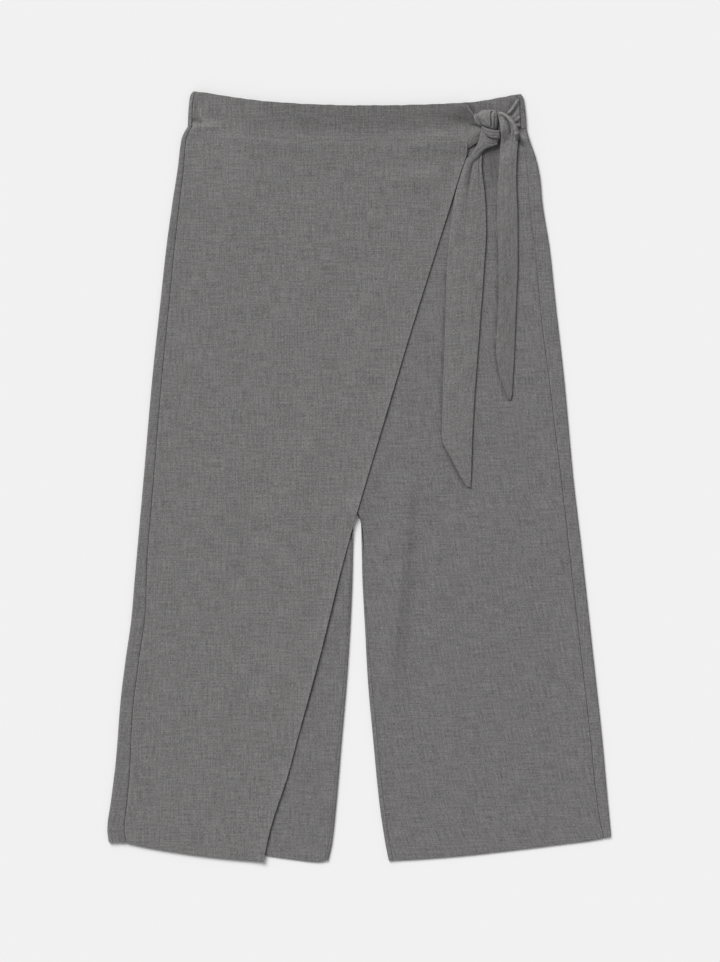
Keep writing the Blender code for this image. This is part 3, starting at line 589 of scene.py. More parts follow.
def buildWeave():
    group = bpy.data.node_groups.new("suitingWeave", "ShaderNodeTree")
    face = group.interface
    face.new_socket("Cloth Map", in_out="INPUT", socket_type="NodeSocketVector")
    for name, value in (("Light", (0.2, 0.2, 0.2, 1)), ("Dark", (0.1, 0.1, 0.1, 1)),
                        ("Warm", (0.2, 0.18, 0.16, 1)), ("Cool", (0.16, 0.18, 0.2, 1))):
        face.new_socket(name, in_out="INPUT", socket_type="NodeSocketColor").default_value = value
    for name, value in (("Warp", 1.0), ("Weft", 1.0), ("Fleck", 1.0), ("Tint", 0.3), ("Shade", 1.0)):
        face.new_socket(name, in_out="INPUT", socket_type="NodeSocketFloat").default_value = value
    face.new_socket("Colour", in_out="OUTPUT", socket_type="NodeSocketColor")
    face.new_socket("Height", in_out="OUTPUT", socket_type="NodeSocketFloat")
    face.new_socket("Roughness", in_out="OUTPUT", socket_type="NodeSocketFloat")
    start = addNode(group, "NodeGroupInput")
    end = addNode(group, "NodeGroupOutput")
    vector = start.outputs["Cloth Map"]
    warp = yarnNoise(group, vector, weave["warpStreak"])
    weft = yarnNoise(group, vector, weave["weftStreak"])
    warpFleck = yarnNoise(group, vector, weave["warpFleck"])
    weftFleck = yarnNoise(group, vector, weave["weftFleck"])
    cloud = yarnNoise(group, vector, weave["cloud"])
    tint = yarnNoise(group, vector, weave["tint"])

    # the yarns go over and under each other
    apart = addNode(group, "ShaderNodeSeparateXYZ")
    group.links.new(vector, apart.inputs["Vector"])
    turns = math.pi * weave["yarnsPerMetre"]
    over = calculate(group, "SINE", calculate(group, "MULTIPLY", apart.outputs["X"], turns))
    under = calculate(group, "SINE", calculate(group, "MULTIPLY", apart.outputs["Y"], turns))
    crossing = calculate(group, "MULTIPLY", over, under)
    upper = unitRange(group, calculate(group, "MULTIPLY_ADD", crossing, weave["crossingEdge"], 0.5))
    between = calculate(group, "SUBTRACT", weftFleck, warpFleck)
    fleck = calculate(group, "MULTIPLY_ADD", between, upper, warpFleck)

    # light and dark yarns
    total = 0.5
    for noise, amount in ((warp, "Warp"), (weft, "Weft"), (fleck, "Fleck")):
        centred = calculate(group, "SUBTRACT", noise, 0.5)
        total = calculate(group, "MULTIPLY_ADD", centred, start.outputs[amount], total)
    centred = calculate(group, "SUBTRACT", cloud, 0.5)
    total = calculate(group, "MULTIPLY_ADD", centred, weave["cloudAmount"], total)
    total = unitRange(group, total)
    shade = addNode(group, "ShaderNodeMix", data_type="RGBA")
    group.links.new(total, shade.inputs["Factor"])
    group.links.new(start.outputs["Dark"], shade.inputs["A"])
    group.links.new(start.outputs["Light"], shade.inputs["B"])
    hue = addNode(group, "ShaderNodeMix", data_type="RGBA")
    group.links.new(tint, hue.inputs["Factor"])
    group.links.new(start.outputs["Cool"], hue.inputs["A"])
    group.links.new(start.outputs["Warm"], hue.inputs["B"])
    mixed = addNode(group, "ShaderNodeMix", data_type="RGBA")
    group.links.new(start.outputs["Tint"], mixed.inputs["Factor"])
    group.links.new(shade.outputs["Result"], mixed.inputs["A"])
    group.links.new(hue.outputs["Result"], mixed.inputs["B"])
    # the colour is scaled by Shade: painted light and shade
    shaded = addNode(group, "ShaderNodeVectorMath", operation="SCALE")
    group.links.new(mixed.outputs["Result"], shaded.inputs["Vector"])
    group.links.new(start.outputs["Shade"], shaded.inputs["Scale"])
    group.links.new(shaded.outputs["Vector"], end.inputs["Colour"])

    # and stand up where they cross
    rounded = calculate(group, "ABSOLUTE", crossing)
    height = calculate(group, "MULTIPLY_ADD", rounded, weave["yarnHeight"], weave["yarnBase"])
    for noise in (warp, weft):
        height = calculate(group, "MULTIPLY_ADD", noise, weave["streakHeight"], height)
    group.links.new(height, end.inputs["Height"])
    drop = weave["roughLight"] - weave["roughDark"]
    rough = calculate(group, "MULTIPLY_ADD", total, drop, weave["roughDark"])
    group.links.new(rough, end.inputs["Roughness"])
    return group


def suitingMaterial(name, weaveGroup, look):
    material = bpy.data.materials.new(name)
    material.use_nodes = True
    tree = material.node_tree
    shader = tree.nodes["Principled BSDF"]
    clothMap = addNode(tree, "ShaderNodeUVMap", uv_map="cloth")
    yarns = addNode(tree, "ShaderNodeGroup", node_tree=weaveGroup)
    tree.links.new(clothMap.outputs["UV"], yarns.inputs["Cloth Map"])
    # painted light and shade, from the mesh's shade attribute
    shade = addNode(tree, "ShaderNodeAttribute", attribute_name="shade")
    tree.links.new(shade.outputs["Fac"], yarns.inputs["Shade"])
    for key in ("Light", "Dark", "Warm", "Cool", "Warp", "Weft", "Fleck", "Tint"):
        yarns.inputs[key].default_value = look[key.lower()]
    tree.links.new(yarns.outputs["Colour"], shader.inputs["Base Color"])
    tree.links.new(yarns.outputs["Roughness"], shader.inputs["Roughness"])
    bump = addNode(tree, "ShaderNodeBump")
    bump.inputs["Strength"].default_value = look["bump"]
    bump.inputs["Distance"].default_value = look["bumpHigh"] * mm
    tree.links.new(yarns.outputs["Height"], bump.inputs["Height"])
    tree.links.new(bump.outputs["Normal"], shader.inputs["Normal"])
    shader.inputs["Sheen Weight"].default_value = look["sheen"]
    shader.inputs["Sheen Roughness"].default_value = look["sheenRough"]
    shader.inputs["Specular IOR Level"].default_value = look["specular"]
    return material


panelLook = {
    "light": (0.282, 0.2752, 0.2708, 1), "dark": (0.055, 0.0528, 0.0516, 1),
    "warm": (0.185, 0.165, 0.148, 1), "cool": (0.143, 0.155, 0.178, 1),
    "warp": 0.9, "weft": 0.8, "fleck": 2.0, "tint": 0.4,
    "bump": 0.35, "bumpHigh": 0.3, "sheen": 0.08, "sheenRough": 0.5, "specular": 0.25,
}
# painted shade: the legs have a darker, cooler copy of the suiting
shadedLegLook = dict(panelLook, light=(0.266, 0.2582, 0.2602, 1), dark=(0.0495, 0.0471, 0.0481, 1))
tieLook = dict(panelLook, warp=0.8, weft=0.7)
bandLook = dict(panelLook, warp=1.1)

weaveGroup = buildWeave()
panelCloth = suitingMaterial("suitingPanel", weaveGroup, panelLook)
bandCloth = suitingMaterial("suitingBand", weaveGroup, bandLook)
shadedLegCloth = suitingMaterial("suitingLegShaded", weaveGroup, shadedLegLook)
tieCloth = suitingMaterial("suitingTie", weaveGroup, tieLook)
print("materials made")


# The legs
legShape = {
    "frontTurn": 2.5,       # the front panel leaves the centre this many times sooner than the back curls up
    "stripRow": 14.0,       # the strip folded onto the front has its faces as if it were this wide
    "restStart": 0.06,      # the back's folds begin over this share of its width
    "innerRelief": 0.1,     # how deep the inseam looks, and where its puckers start
    "innerStart": 300.0,
    "sewn": (0.3, 0.3, 1.0),    # how round the inseam, the top and the hem are
}


class Leg:
    # one trouser leg, whose rows run from the outer edge to the centre and bend from waist to hem
    def __init__(self, cut, stripLevel, stripFolds):
        self.side = cut["side"]
        self.edge, self.inseam = curve(cut["edge"]), curve(cut["inseam"])
        self.seamInset, self.hem = curve(cut["seam"]), curve(cut["hem"])
        self.inseamInset, self.seamGap = curve(cut["inseamInset"]), curve(cut["seamGap"])
        self.seamDepth, self.seamRound = cut["seamDepth"], cut["seamRound"]
        self.stripLevel, self.stripFolds = stripLevel, stripFolds
        self.outerStart, self.outerEnd = cut["edge"][0][0], cut["edge"][-1][0]
        self.innerEnd = cut["inseam"][-1][0]
        share = shares(self.innerEnd - cloth["legTop"])
        self.share = share
        self.outerDown = mix(self.outerStart, self.outerEnd, share)
        self.innerDown = mix(cloth["legTop"], self.innerEnd, share)
        self.outer = self.edge(self.outerDown)
        self.inner = self.innerLine(self.innerDown)
        self.turn = crotchTurn(self.innerDown)
        self.inset = self.inseamInset(self.innerDown)
        web = smooth((self.innerDown - cloth["backCrotch"]) / cloth["backWeb"])
        self.backInner = mix(self.innerLine(0.0), self.inner, web)

    def innerLine(self, down):
        centre = -self.side * cloth["seamGap"] / 2
        return np.where(down < cloth["crotch"], centre, self.inseam(down))

    def down(self, across):
        # across has one row for each of the leg's rows
        outer, inner, share = self.outer[:, None], self.inner[:, None], self.share[:, None]
        part = np.clip((across - outer) / (inner - outer), 0, 1)
        ends = (self.edge(self.outerStart), -self.side * cloth["seamGap"] / 2)
        lows = (self.edge(self.outerEnd), self.inseam(self.innerEnd))
        top = bandBottom(mix(*ends, part)) + cloth["waistGap"]
        topBow = top - mix(self.outerStart, cloth["legTop"], part)
        lowBow = self.hem(mix(*lows, part)) - mix(self.outerEnd, self.innerEnd, part)
        return mix(self.outerDown[:, None], self.innerDown[:, None], part) + mix(topBow, lowBow, share)

    def downAt(self, across):
        # the same for one place in each row
        return self.down(across[:, None])[:, 0]

    def seam(self):
        across = self.outer
        for _ in range(3):
            down = self.downAt(across)
            across = self.edge(down) + self.side * self.seamInset(down)
        return across

    def frontInner(self):
        away = np.minimum(1.0, legShape["frontTurn"] * self.turn) * (self.inset + cloth["hair"])
        return self.inner - self.side * away


def foldRound(edge, top, low, wall, towards, steps):
    # places round a fold from its top down, one row for each of the leg's rows
    radius = (top - low)[:, None] / 2
    centre = edge[:, None] + towards * (wall / 2 + radius)
    angle = np.linspace(0, math.pi, steps + 1)[None, :]
    return centre - towards * radius * np.sin(angle), low + radius + radius * np.cos(angle)


curlShape = {
    "steps": 10,
    "start": 0.8,           # how wide the strip past the curl is before it is folded down
    "least": 0.001,         # the least angle of the curl
    "fineSteps": 5,         # of the edge's steps, on the strip, and how much of it they take up
    "fineShare": 0.9,
}


def curlRound(edge, top, side, turn, inset):
    # the back's inseam, flat at the crotch and curling up below it until it is folded onto the front
    low, wall = cloth["backLevel"], cloth["wall"]
    radius = (top - low) / 2
    angle = np.maximum(math.pi * turn, curlShape["least"])
    bend = angle / (math.pi * radius)
    strip = mix(curlShape["start"], inset - wall / 2 - radius, smooth(2 * turn - 1))
    t = np.linspace(0, 1, curlShape["steps"] + 1)[None, :]
    at = angle[:, None] * t
    across, height = np.sin(at) / bend[:, None], low + (1 - np.cos(at)) / bend[:, None]
    fine = curlShape["fineSteps"]
    s = 1 - np.array(edgeSteps[:fine][::-1])[None, :] / edgeSteps[fine] * curlShape["fineShare"]
    farAcross = across[:, -1:] + strip[:, None] * s * np.cos(angle)[:, None]
    farHeight = height[:, -1:] + strip[:, None] * s * np.sin(angle)[:, None]
    across = np.concatenate((across, farAcross), axis=1)
    height = np.concatenate((height, farHeight), axis=1)
    tip = across[:, -1] + wall / 2 * np.sin(angle)
    reach = np.where(angle < math.pi / 2, tip, 1 / bend + wall / 2)
    return edge[:, None] - side * (reach[:, None] - across), height


hemLook = {"height": 25.0, "ridge": 0.16, "wide": 1.6}


def hemRidge(aboveHem):
    # the turned-up hem's top shows through as a faint ridge
    return hemLook["ridge"] * np.exp(-(((aboveHem - hemLook["height"]) / hemLook["wide"]) ** 2))


def backPanel(leg, name, node):
    side = leg.side
    seam = leg.seam() - side * leg.seamGap(leg.outerDown) / 2
    stripTop = leg.stripLevel(leg.outer + side * cloth["foldAt"], leg.downAt(leg.outer))
    low, steps = cloth["backLevel"], cloth["foldSteps"]
    foldAcross, foldHigh = foldRound(leg.outer, stripTop, low, cloth["wall"], side, steps)
    t = np.array(edgeSteps + [legShape["stripRow"]]) / legShape["stripRow"]
    stripAcross = mix(seam[:, None], foldAcross[:, :1], t[None, :-1])
    level = leg.stripLevel(stripAcross, leg.down(stripAcross))
    stripHeight = mix(level, stripTop[:, None], smooth(2 * t[None, :-1] - 1))
    toSeam = np.abs(stripAcross - seam[:, None])
    stripHeight = stripHeight + seamRelief(toSeam, leg.outerDown[:, None], leg.seamDepth)
    innerTop = frontBase(leg.inner, leg.downAt(leg.inner))
    curlAcross, curlHigh = curlRound(leg.backInner, innerTop, side, leg.turn, leg.inset)
    count = round(abs(float(np.mean(curlAcross[:, 0] - foldAcross[:, -1]))) / cloth["gridStep"])
    s = np.linspace(0, 1, count + 1)[None, 1:-1]
    flatAcross = mix(foldAcross[:, -1:], curlAcross[:, :1], s)
    down = leg.down(flatAcross)
    restStart = legShape["restStart"]
    away = np.minimum(smooth(s / restStart), smooth((1 - s) / restStart))
    flatHigh = low + away * foldHeight(flatAcross, down, backFolds)
    across = np.concatenate((stripAcross, foldAcross, flatAcross, curlAcross), axis=1)
    height = np.concatenate((stripHeight, foldHigh, flatHigh, curlHigh), axis=1)
    middle = np.stack((across, leg.down(across), height), axis=2)
    strip = stripAcross.shape[1]
    # painted light and shade on the strip, from the folds it lies with
    shade = np.ones(across.shape)
    shade[:, :strip] += foldHeight(stripAcross, middle[:, :strip, 1], leg.stripFolds, "shade")
    anchor = strip + foldAcross.shape[1] + 2
    sewn = (leg.seamRound, *legShape["sewn"])
    piece = clothShell(name, middle, layFlat(middle, anchor), cloth["wall"], shadedLegCloth, shade, sewn)
    finishPiece(piece, node)


def frontPanel(leg, name, node):
    seam = leg.seam() + leg.side * leg.seamGap(leg.outerDown) / 2
    inner = leg.frontInner()
    places = spreadPlaces(abs(float(np.mean(inner - seam))))
    across = layAcross(seam, inner, places)
    down = leg.down(across)
    height = frontLevel(across, down)
    height = height + seamRelief(np.abs(across - seam[:, None]), down, leg.seamDepth)
    inseamAlong = down + legShape["innerStart"]
    height = height + seamRelief(np.abs(across - inner[:, None]), inseamAlong, legShape["innerRelief"])
    height = height + hemRidge(down[-1:] - down)
    middle = np.stack((across, down, height), axis=2)
    # painted light and shade from the folds
    shade = 1 + foldHeight(across, down, frontFolds, "shade")
    sewn = (leg.seamRound, *legShape["sewn"])
    clothMap = layFlat(middle, across.shape[1] // 2)
    piece = clothShell(name, middle, clothMap, cloth["wall"], shadedLegCloth, shade, sewn)
    finishPiece(piece, node)


left = Leg(leftLeg, wrapLevel, wrapFolds)
right = Leg(rightLeg, frontLevel, frontFolds)
backPanel(left, "backLeft", "back_left")
backPanel(right, "backRight", "back_right")
frontPanel(left, "frontLeft", "front_left")
frontPanel(right, "frontRight", "front_right")

# The waistband
bandShape = {
    "ripple": 0.28,         # how deep the gathers on the elastic are
    "scallop": 0.35,        # and how they show along the top edge
    # how much the band's colour is scaled for painted shade across it: none at the left, darkest right of the
    # centre
    "shade": [
        (-202.0, 1.0), (-150.0, 1.0), (-90.0, 0.9), (30.0, 0.86), (110.0, 0.85), (150.0, 0.91), (203.0, 0.94),
    ],
    "shadeEnd": 26.0,       # below this much of the band its painted shade fades, over this length
    "shadeFade": 14.0,
    "topShare": 0.5,        # the scallops fade over this share of its height
    "stripRow": 12.0,       # its strips on the front have their faces as if they were this wide
    "step": 1.6,            # the size of the back's faces, fine enough for the gathers
    "backRipple": 0.6,
    "rippleFade": 12.0,     # the gathers fade over this many faces beside the folds
    "frontStart": 128.0,    # and start here on the front, beside the wrap
    "frontFade": 12.0,
    "tieRelief": 0.8,
    "sewn": (0.5, 0.3, 1.0, 0.4),   # how round its sides, its top and its seam are
    "paintedShadows": [            # painted shadows where it is in shade, beside the edge of the wrap and the tie on it
        fold([(130.6, 12), (134.4, 17.4), (138.6, 23), (142, 27.6)], (2.0, 2.6), shade=-0.3,
             fade=(0.05, 0.05)),
        fold([(190.4, 10), (186.6, 15.4), (181, 23), (176, 28)], (2.2, 2.0), shade=-0.2, fade=(0.1, 0.05)),
    ],
}
paintedBandShade = curve(bandShape["shade"])


def paintedWaistShade(across, down):
    # painted shade: the wrap's top and the tie on it are coloured darker down to just below the waistband,
    # least at the left
    fade = smooth((down - waist(across) - bandShape["shadeEnd"]) / bandShape["shadeFade"])
    return 1 - (1 - paintedBandShade(across)) * (1 - fade)


bandRows = shares(cloth["bandHeight"])


def bandPoints(across, height, level=None):
    # rows of the waistband above the columns of the panels sewn to it
    share = bandRows[:, None]
    leftMove = bandLeft(share) - bandLeft(1.0)
    rightMove = bandRight(share) - bandRight(1.0)
    part = smooth(0.5 + across / 2 / bandRight(1.0))
    moved = across + mix(leftMove, rightMove, part)
    top = 1 - smooth(share / bandShape["topShare"])
    down = waist(moved) + share * cloth["bandHeight"] - bandShape["scallop"] * gathers(moved) * top
    if level is not None:
        height = level(moved, np.minimum(down, bandBottom(moved) - cloth["hair"]))
    return np.stack(np.broadcast_arrays(moved, down, height), axis=2), share


def backBand():
    wall = cloth["bandWall"]
    leftSide, rightSide = bandLeft(1.0), bandRight(1.0)
    leftTop = float(wrapLevel(leftSide + cloth["foldAt"], bandBottom(0.0) - cloth["bandHeight"] / 2))
    rightTop = cloth["frontBandLevel"] + cloth["sidePuff"]
    low, steps = cloth["backBandLevel"], cloth["foldSteps"]
    leftFold = foldRound(np.array([leftSide]), np.array([leftTop]), low, wall, 1, steps)
    rightFold = foldRound(np.array([rightSide]), np.array([rightTop]), low, wall, -1, steps)
    t = np.array(edgeSteps + [bandShape["stripRow"]]) / bandShape["stripRow"]
    leftStrip = mix(leftSide + cloth["bandInsetLeft"], leftFold[0][0, 0], t[:-1])
    rightStrip = mix(rightSide - cloth["bandInsetRight"], rightFold[0][0, 0], t[:-1])
    count = round((rightSide - leftSide) / bandShape["step"])
    between = np.linspace(leftFold[0][0, -1], rightFold[0][0, -1], count)[1:-1]
    across = np.concatenate((leftStrip, leftFold[0][0], between, rightFold[0][0][::-1], rightStrip[::-1]))
    height = np.concatenate((
        np.full(len(leftStrip), leftTop), leftFold[1][0], np.full(len(between), low),
        rightFold[1][0][::-1], np.full(len(rightStrip), rightTop),
    ))
    middle, share = bandPoints(across[None, :], height[None, :])
    onBack = np.zeros(len(across))
    first = len(leftStrip) + len(leftFold[0][0])
    reach = np.minimum(np.arange(len(between)), len(between) - 1 - np.arange(len(between)))
    onBack[first:first + len(between)] = smooth(reach / bandShape["rippleFade"])
    lift = bandShape["ripple"] * (1 + gathers(across)) * onBack * bandShape["backRipple"]
    middle[..., 2] += lift[None, :] * np.sin(np.pi * np.clip(share, 0, 1)) ** 0.5
    # painted shade across the back band
    flat, shade = layFlat(middle, len(across) // 2), paintedBandShade(middle[..., 0])
    piece = clothShell("waistbandBack", middle, flat, wall, bandCloth, shade, bandShape["sewn"])
    finishPiece(piece, "waistband_back")


def frontBand():
    start = bandLeft(1.0) + cloth["bandInsetLeft"] + cloth["seamGap"]
    end = bandRight(1.0) - cloth["bandInsetRight"] - cloth["seamGap"]
    across = layAcross(np.array([start]), np.array([end]), spreadPlaces(end - start))
    middle, share = bandPoints(across, None, frontBase)
    ripple = bandShape["ripple"] * gathers(middle[..., 0]) * np.sin(np.pi * share) ** 0.5
    middle[..., 2] += ripple * smooth((middle[..., 0] - bandShape["frontStart"]) / bandShape["frontFade"])
    middle[..., 2] += seamRelief(end - middle[..., 0], middle[..., 1]) * bandShape["tieRelief"]
    # painted shade across the band, and painted shadows beside the wrap's edge and the tie
    paintedShadows = foldHeight(middle[..., 0], middle[..., 1], bandShape["paintedShadows"], "shade")
    shade = paintedBandShade(middle[..., 0]) + paintedShadows
    flat, sewn = layFlat(middle, across.shape[1] // 2), bandShape["sewn"]
    piece = clothShell("waistbandFront", middle, flat, cloth["bandWall"], bandCloth, shade, sewn)
    finishPiece(piece, "waistband_front")


backBand()
frontBand()


# The wrap
def wrapPanel(leg):
    share = bandRows
    bandAcross = bandLeft(share) + cloth["bandInsetLeft"] + cloth["seamGap"]
    bandDown = waist(bandAcross) + share * cloth["bandHeight"]
    legAcross = leg.seam() + cloth["seamGap"] / 2
    legDown = leg.downAt(legAcross)
    keep = legDown > bandDown[-1] + wrapShape["rowGap"]
    leftAcross = np.concatenate((bandAcross, legAcross[keep]))
    leftDown = np.concatenate((bandDown, legDown[keep]))
    share = (leftDown - leftDown[0]) / (leftDown[-1] - leftDown[0])
    freeStart, freeEnd = lines["wrapEdge"][0], lines["wrapEdge"][-1]
    rightDown = mix(freeStart[0], freeEnd[0], share)
    rightAcross = wrapEdge(rightDown)
    places = spreadPlaces(float(np.mean(rightAcross - leftAcross)) * wrapShape["spare"])
    across = layAcross(leftAcross, rightAcross, places)
    part = (across - leftAcross[:, None]) / (rightAcross - leftAcross)[:, None]
    topBow = waist(mix(leftAcross[0], freeStart[1], part)) - mix(leftDown[0], freeStart[0], part)
    lowBow = wrapHem(mix(leftAcross[-1], freeEnd[1], part)) - mix(leftDown[-1], freeEnd[0], part)
    down = mix(leftDown[:, None], rightDown[:, None], part) + mix(topBow, lowBow, share[:, None])
    scallop = bandShape["scallop"] * gathers(across)
    scallop = scallop * (1 - smooth((down - waist(across)) / wrapShape["scallopEnd"]))
    height = wrapLevel(across, down) + seamRelief(np.abs(across - leftAcross[:, None]), down)
    height = height + hemRidge(down[-1:] - down)
    middle = np.stack((across, down - scallop, height), axis=2)
    # painted shade of the gathered top, and the folds' painted light and shade
    shade = paintedWaistShade(across, down) + foldHeight(across, down, wrapFolds, "shade")
    flat = layFlat(middle, across.shape[1] // 2)
    piece = clothShell("wrapPanel", middle, flat, cloth["wall"], panelCloth, shade, wrapShape["sewn"])
    finishPiece(piece, "wrap_panel")


wrapPanel(left)

# The ties, in rows from the knot to the tip: left across and down, right across and down, lift, arch.
# Folds run along a tie: place from -1 at its left to 1 at its right, width, height, first and last row.
# Creases are laid as the soft folds above are.
tailLong = {
    "rows": [
        (131.6, 80.5, 149.9, 73.0, 0.4, 0.2), (129.6, 85.5, 149.7, 80.5, 0.5, 0.4),
        (127.2, 92.0, 149.5, 90.0, 0.6, 0.7), (123.0, 105.0, 150.8, 104.0, 0.8, 0.9),
        (116.8, 129.0, 153.9, 129.0, 0.9, 0.9), (111.6, 166.8, 155.3, 166.8, 0.8, 0.6),
        (107.4, 220.8, 152.1, 220.8, 0.6, 0.4), (105.2, 292.8, 146.8, 292.8, 0.5, 0.3),
        (102.8, 364.8, 141.4, 364.8, 0.6, 0.3), (101.8, 406.0, 139.0, 406.0, 0.8, 0.3),
        (102.6, 420.0, 138.4, 421.0, 0.9, 0.3), (111.4, 438.0, 137.8, 439.0, 0.8, 0.3),
        (121.0, 457.0, 137.4, 458.5, 0.5, 0.2), (131.6, 475.0, 136.6, 476.4, 0.0, 0.0),
    ],
    "folds": [
        (-0.55, 0.30, 1.8, -1.0, 5.5), (0.35, 0.35, 0.7, 0.0, 5.0), (0.90, 0.08, 1.3, 0.0, 5.0),
        (0.74, 0.08, -0.5, 0.0, 4.5), (0.35, 0.3, 0.5, 4.0, 9.0), (-0.4, 0.3, 0.5, 5.0, 10.0),
    ],
    "creases": [
        fold([(138.4, 86), (137.4, 96), (135.4, 112), (133, 140)], (2.6, 1.6), -2.0),
        fold([(122, 120), (117, 170), (116, 230)], (4, 5), 0.5),
    ],
    "wall": 2.0,
}
tailShort = {
    "rows": [
        (172.0, 44.6, 168.0, 25.0, 9.4, 0.8), (172.4, 46.0, 173.4, 26.2, 9.4, 1.4),
        (172.6, 48.2, 179.0, 29.2, 9.2, 1.8), (172.7, 51.0, 184.2, 33.6, 8.6, 2.0),
        (172.8, 55.0, 189.4, 39.4, 6.6, 2.2), (172.6, 60.4, 192.8, 46.0, 4.0, 2.2),
        (172.2, 66.6, 193.8, 53.6, 2.2, 2.2), (171.6, 74.4, 193.0, 63.0, 1.6, 2.0),
        (170.8, 84.0, 192.0, 76.0, 1.8, 1.8), (170.0, 96.0, 191.4, 92.0, 1.2, 1.4),
        (169.2, 112.0, 191.4, 112.0, 0.9, 1.0), (168.0, 148.8, 192.7, 148.8, 0.7, 0.6),
        (169.6, 202.8, 193.2, 202.8, 0.6, 0.4), (169.8, 246.0, 191.6, 246.0, 0.4, 0.3),
        (167.2, 292.8, 189.8, 292.8, 0.3, 0.3), (166.8, 312.0, 189.0, 312.0, 0.2, 0.3),
        (169.0, 331.0, 188.1, 331.0, 0.2, 0.3), (173.6, 348.0, 187.1, 348.0, 0.1, 0.2),
        (178.4, 362.0, 186.4, 363.0, 0.0, 0.1), (181.6, 370.4, 184.6, 371.0, -0.1, 0.0),
    ],
    "folds": [(0.0, 0.2, 0.5, 9.0, 13.0), (-0.5, 0.3, 0.4, 10.0, 16.0)],
    "creases": [
        fold([(169, 26.6), (176, 28.8), (182, 33.4), (187.4, 39.6), (190, 46), (190.4, 55), (189, 70)],
             (1.7, 2.2), 3.4, fade=(0.1, 0.35)),
        fold([(176, 30.4), (180.4, 34.6), (183, 40.4), (184.6, 48), (184.2, 58)], (3.0, 0.7), -3.2,
             fade=(0.2, 0.25)),
        fold([(176.4, 30.0), (181.2, 34.6)], (0.5, 0.5), -0.9, fade=(0.2, 0.2)),
        fold([(176, 58), (181, 59), (184.6, 57)], (4.0, 3.0), -1.0, fade=(0.3, 0.3)),
        fold([(187, 36), (188.6, 46), (188, 60)], (0.6, 0.6), -0.5, fade=(0.3, 0.4)),
        # painted highlight on the tail's upper part, and painted shade on its lower part
        fold([(172, 28), (181, 40), (184, 62), (182, 110)], (12, 14), shade=0.24, fade=(0.1, 0.4)),
        fold([(180, 120), (180, 230), (179, 372)], (20, 20), shade=-0.1, fade=(0.4, 0.01)),
        fold([(173.6, 34), (173.6, 50), (172.8, 66), (171.8, 96)], (0.8, 2.2), 0.9, fade=(0.2, 0.4)),
        fold([(174, 79), (180, 80.2), (187, 78.6)], (1.4, 1.2), 0.35, fade=(0.3, 0.3)),
        fold([(173, 86), (180, 87.4), (188, 86.0)], (1.4, 1.2), 0.35, fade=(0.3, 0.3)),
    ],
    "wall": 2.0,
    "ridge": 0.12,
}
# The gathered starts of the ties, from the seam to the knot, with the upper edge as their left
wrapTie = {
    "rows": [
        (131.4, 16.0, 132.5, 69.5, 0.0, 0.0), (133.8, 19.4, 135.8, 67.6, 0.1, 0.2),
        (136.8, 23.6, 139.6, 65.0, 0.3, 0.6), (139.6, 28.0, 143.4, 62.8, 0.6, 0.9),
        (141.8, 31.4, 147.0, 60.4, 0.9, 1.0), (145.0, 34.6, 151.0, 57.6, 1.1, 0.9),
        (149.0, 37.6, 155.0, 54.0, 1.0, 0.4),
    ],
    "folds": [(1.0, 0.28, -2.0, -1.0, 9.0)],
    "creases": [
        fold([(131.6, 17.8), (136.2, 24.4), (141.0, 31.0)], (1.5, 1.1), 2.6, fade=(0.02, 0.1)),
        fold([(135, 41.4), (142, 41.8), (148.4, 40.4)], (1.1, 0.8), -1.4, fade=(0.2, 0.1)),
        fold([(136, 49), (142, 49), (149, 47.6)], (2.6, 2.0), 0.8, fade=(0.3, 0.2)),
        fold([(137, 57.6), (143, 55.8), (149, 53.0)], (1.6, 1.4), -0.5, fade=(0.3, 0.2)),
    ],
    "wall": 1.2,
    "sewn": (1.0, 1.0, 0.2, 0.3),
    "ridge": 0.1,
}
sideTie = {
    "rows": [
        (194.4, 8.4, 196.2, 43.6, 0.0, 0.0), (191.6, 10.6, 193.6, 43.8, 0.0, 0.6),
        (188.4, 15.0, 190.6, 43.6, 0.1, 1.0), (184.8, 20.4, 187.2, 43.2, 0.3, 1.2),
        (180.8, 25.6, 183.4, 42.6, 0.5, 1.2), (176.6, 30.2, 179.4, 41.8, 0.6, 0.8),
    ],
    "folds": [],
    "creases": [
        fold([(193.4, 10.4), (190.0, 16.4), (185.4, 23.2), (179, 30)], (2.2, 1.6), 3.0, fade=(0.05, 0.2)),
        fold([(193.6, 18), (189.2, 24.6), (184, 31.6)], (0.8, 1.6), -1.0, fade=(0.3, 0.1)),
        fold([(194.6, 25), (190.6, 29.6), (187, 33.4)], (2.0, 2.4), 0.8, fade=(0.1, 0.3)),
        fold([(196, 31), (192.6, 34.6), (188, 37.4)], (1.8, 1.0), 2.0, fade=(0.1, 0.4)),
        fold([(195.6, 38), (191, 38.8), (187, 39.4)], (0.6, 0.6), -1.3, fade=(0.1, 0.2)),
        fold([(196, 41.8), (192, 41.4), (188, 41.2)], (1.0, 1.0), 1.4, fade=(0.1, 0.3)),
    ],
    "wall": 1.2,
    "ridge": 0.08,
}


def tieFold(t, s, folds):
    total = np.zeros(np.broadcast(t, s).shape)
    for place, width, high, first, last in folds:
        fade = smooth((t - first) / tieShape["foldIn"]) * smooth((last - t) / tieShape["foldOut"])
        total = total + high * fade * np.exp(-(((s - place) / width) ** 2))
    return total


tieShape = {
    "step": 1.6,            # the size of a tie's faces beside the knot, and the rows that have it
    "fineRows": 10,
    "coarse": 3,            # how many times larger they are towards its tip
    "leastFaces": 4,        # between two of its rows
    "foldIn": 1.0,          # a fold begins and ends over so many rows
    "foldOut": 2.0,
    "columns": 51,
    "starts": [0.0, 0.01, 0.04, 0.09],      # its first rows and last ones are close, for their round edges
    "ends": [0.06, 0.02, 0.0],
    "endRoom": 0.1,
    "sides": [1.0, 0.995, 0.98, 0.955],     # and so are its side columns
    "shadeLimit": 3.0,      # a crease higher than this gets no more painted light or shade
    "ridge": 0.045,         # painted light: ridges are coloured paler and hollows darker, by this much for each mm
    "sewn": (1.0, 1.0, 1.0, 1.0),
}


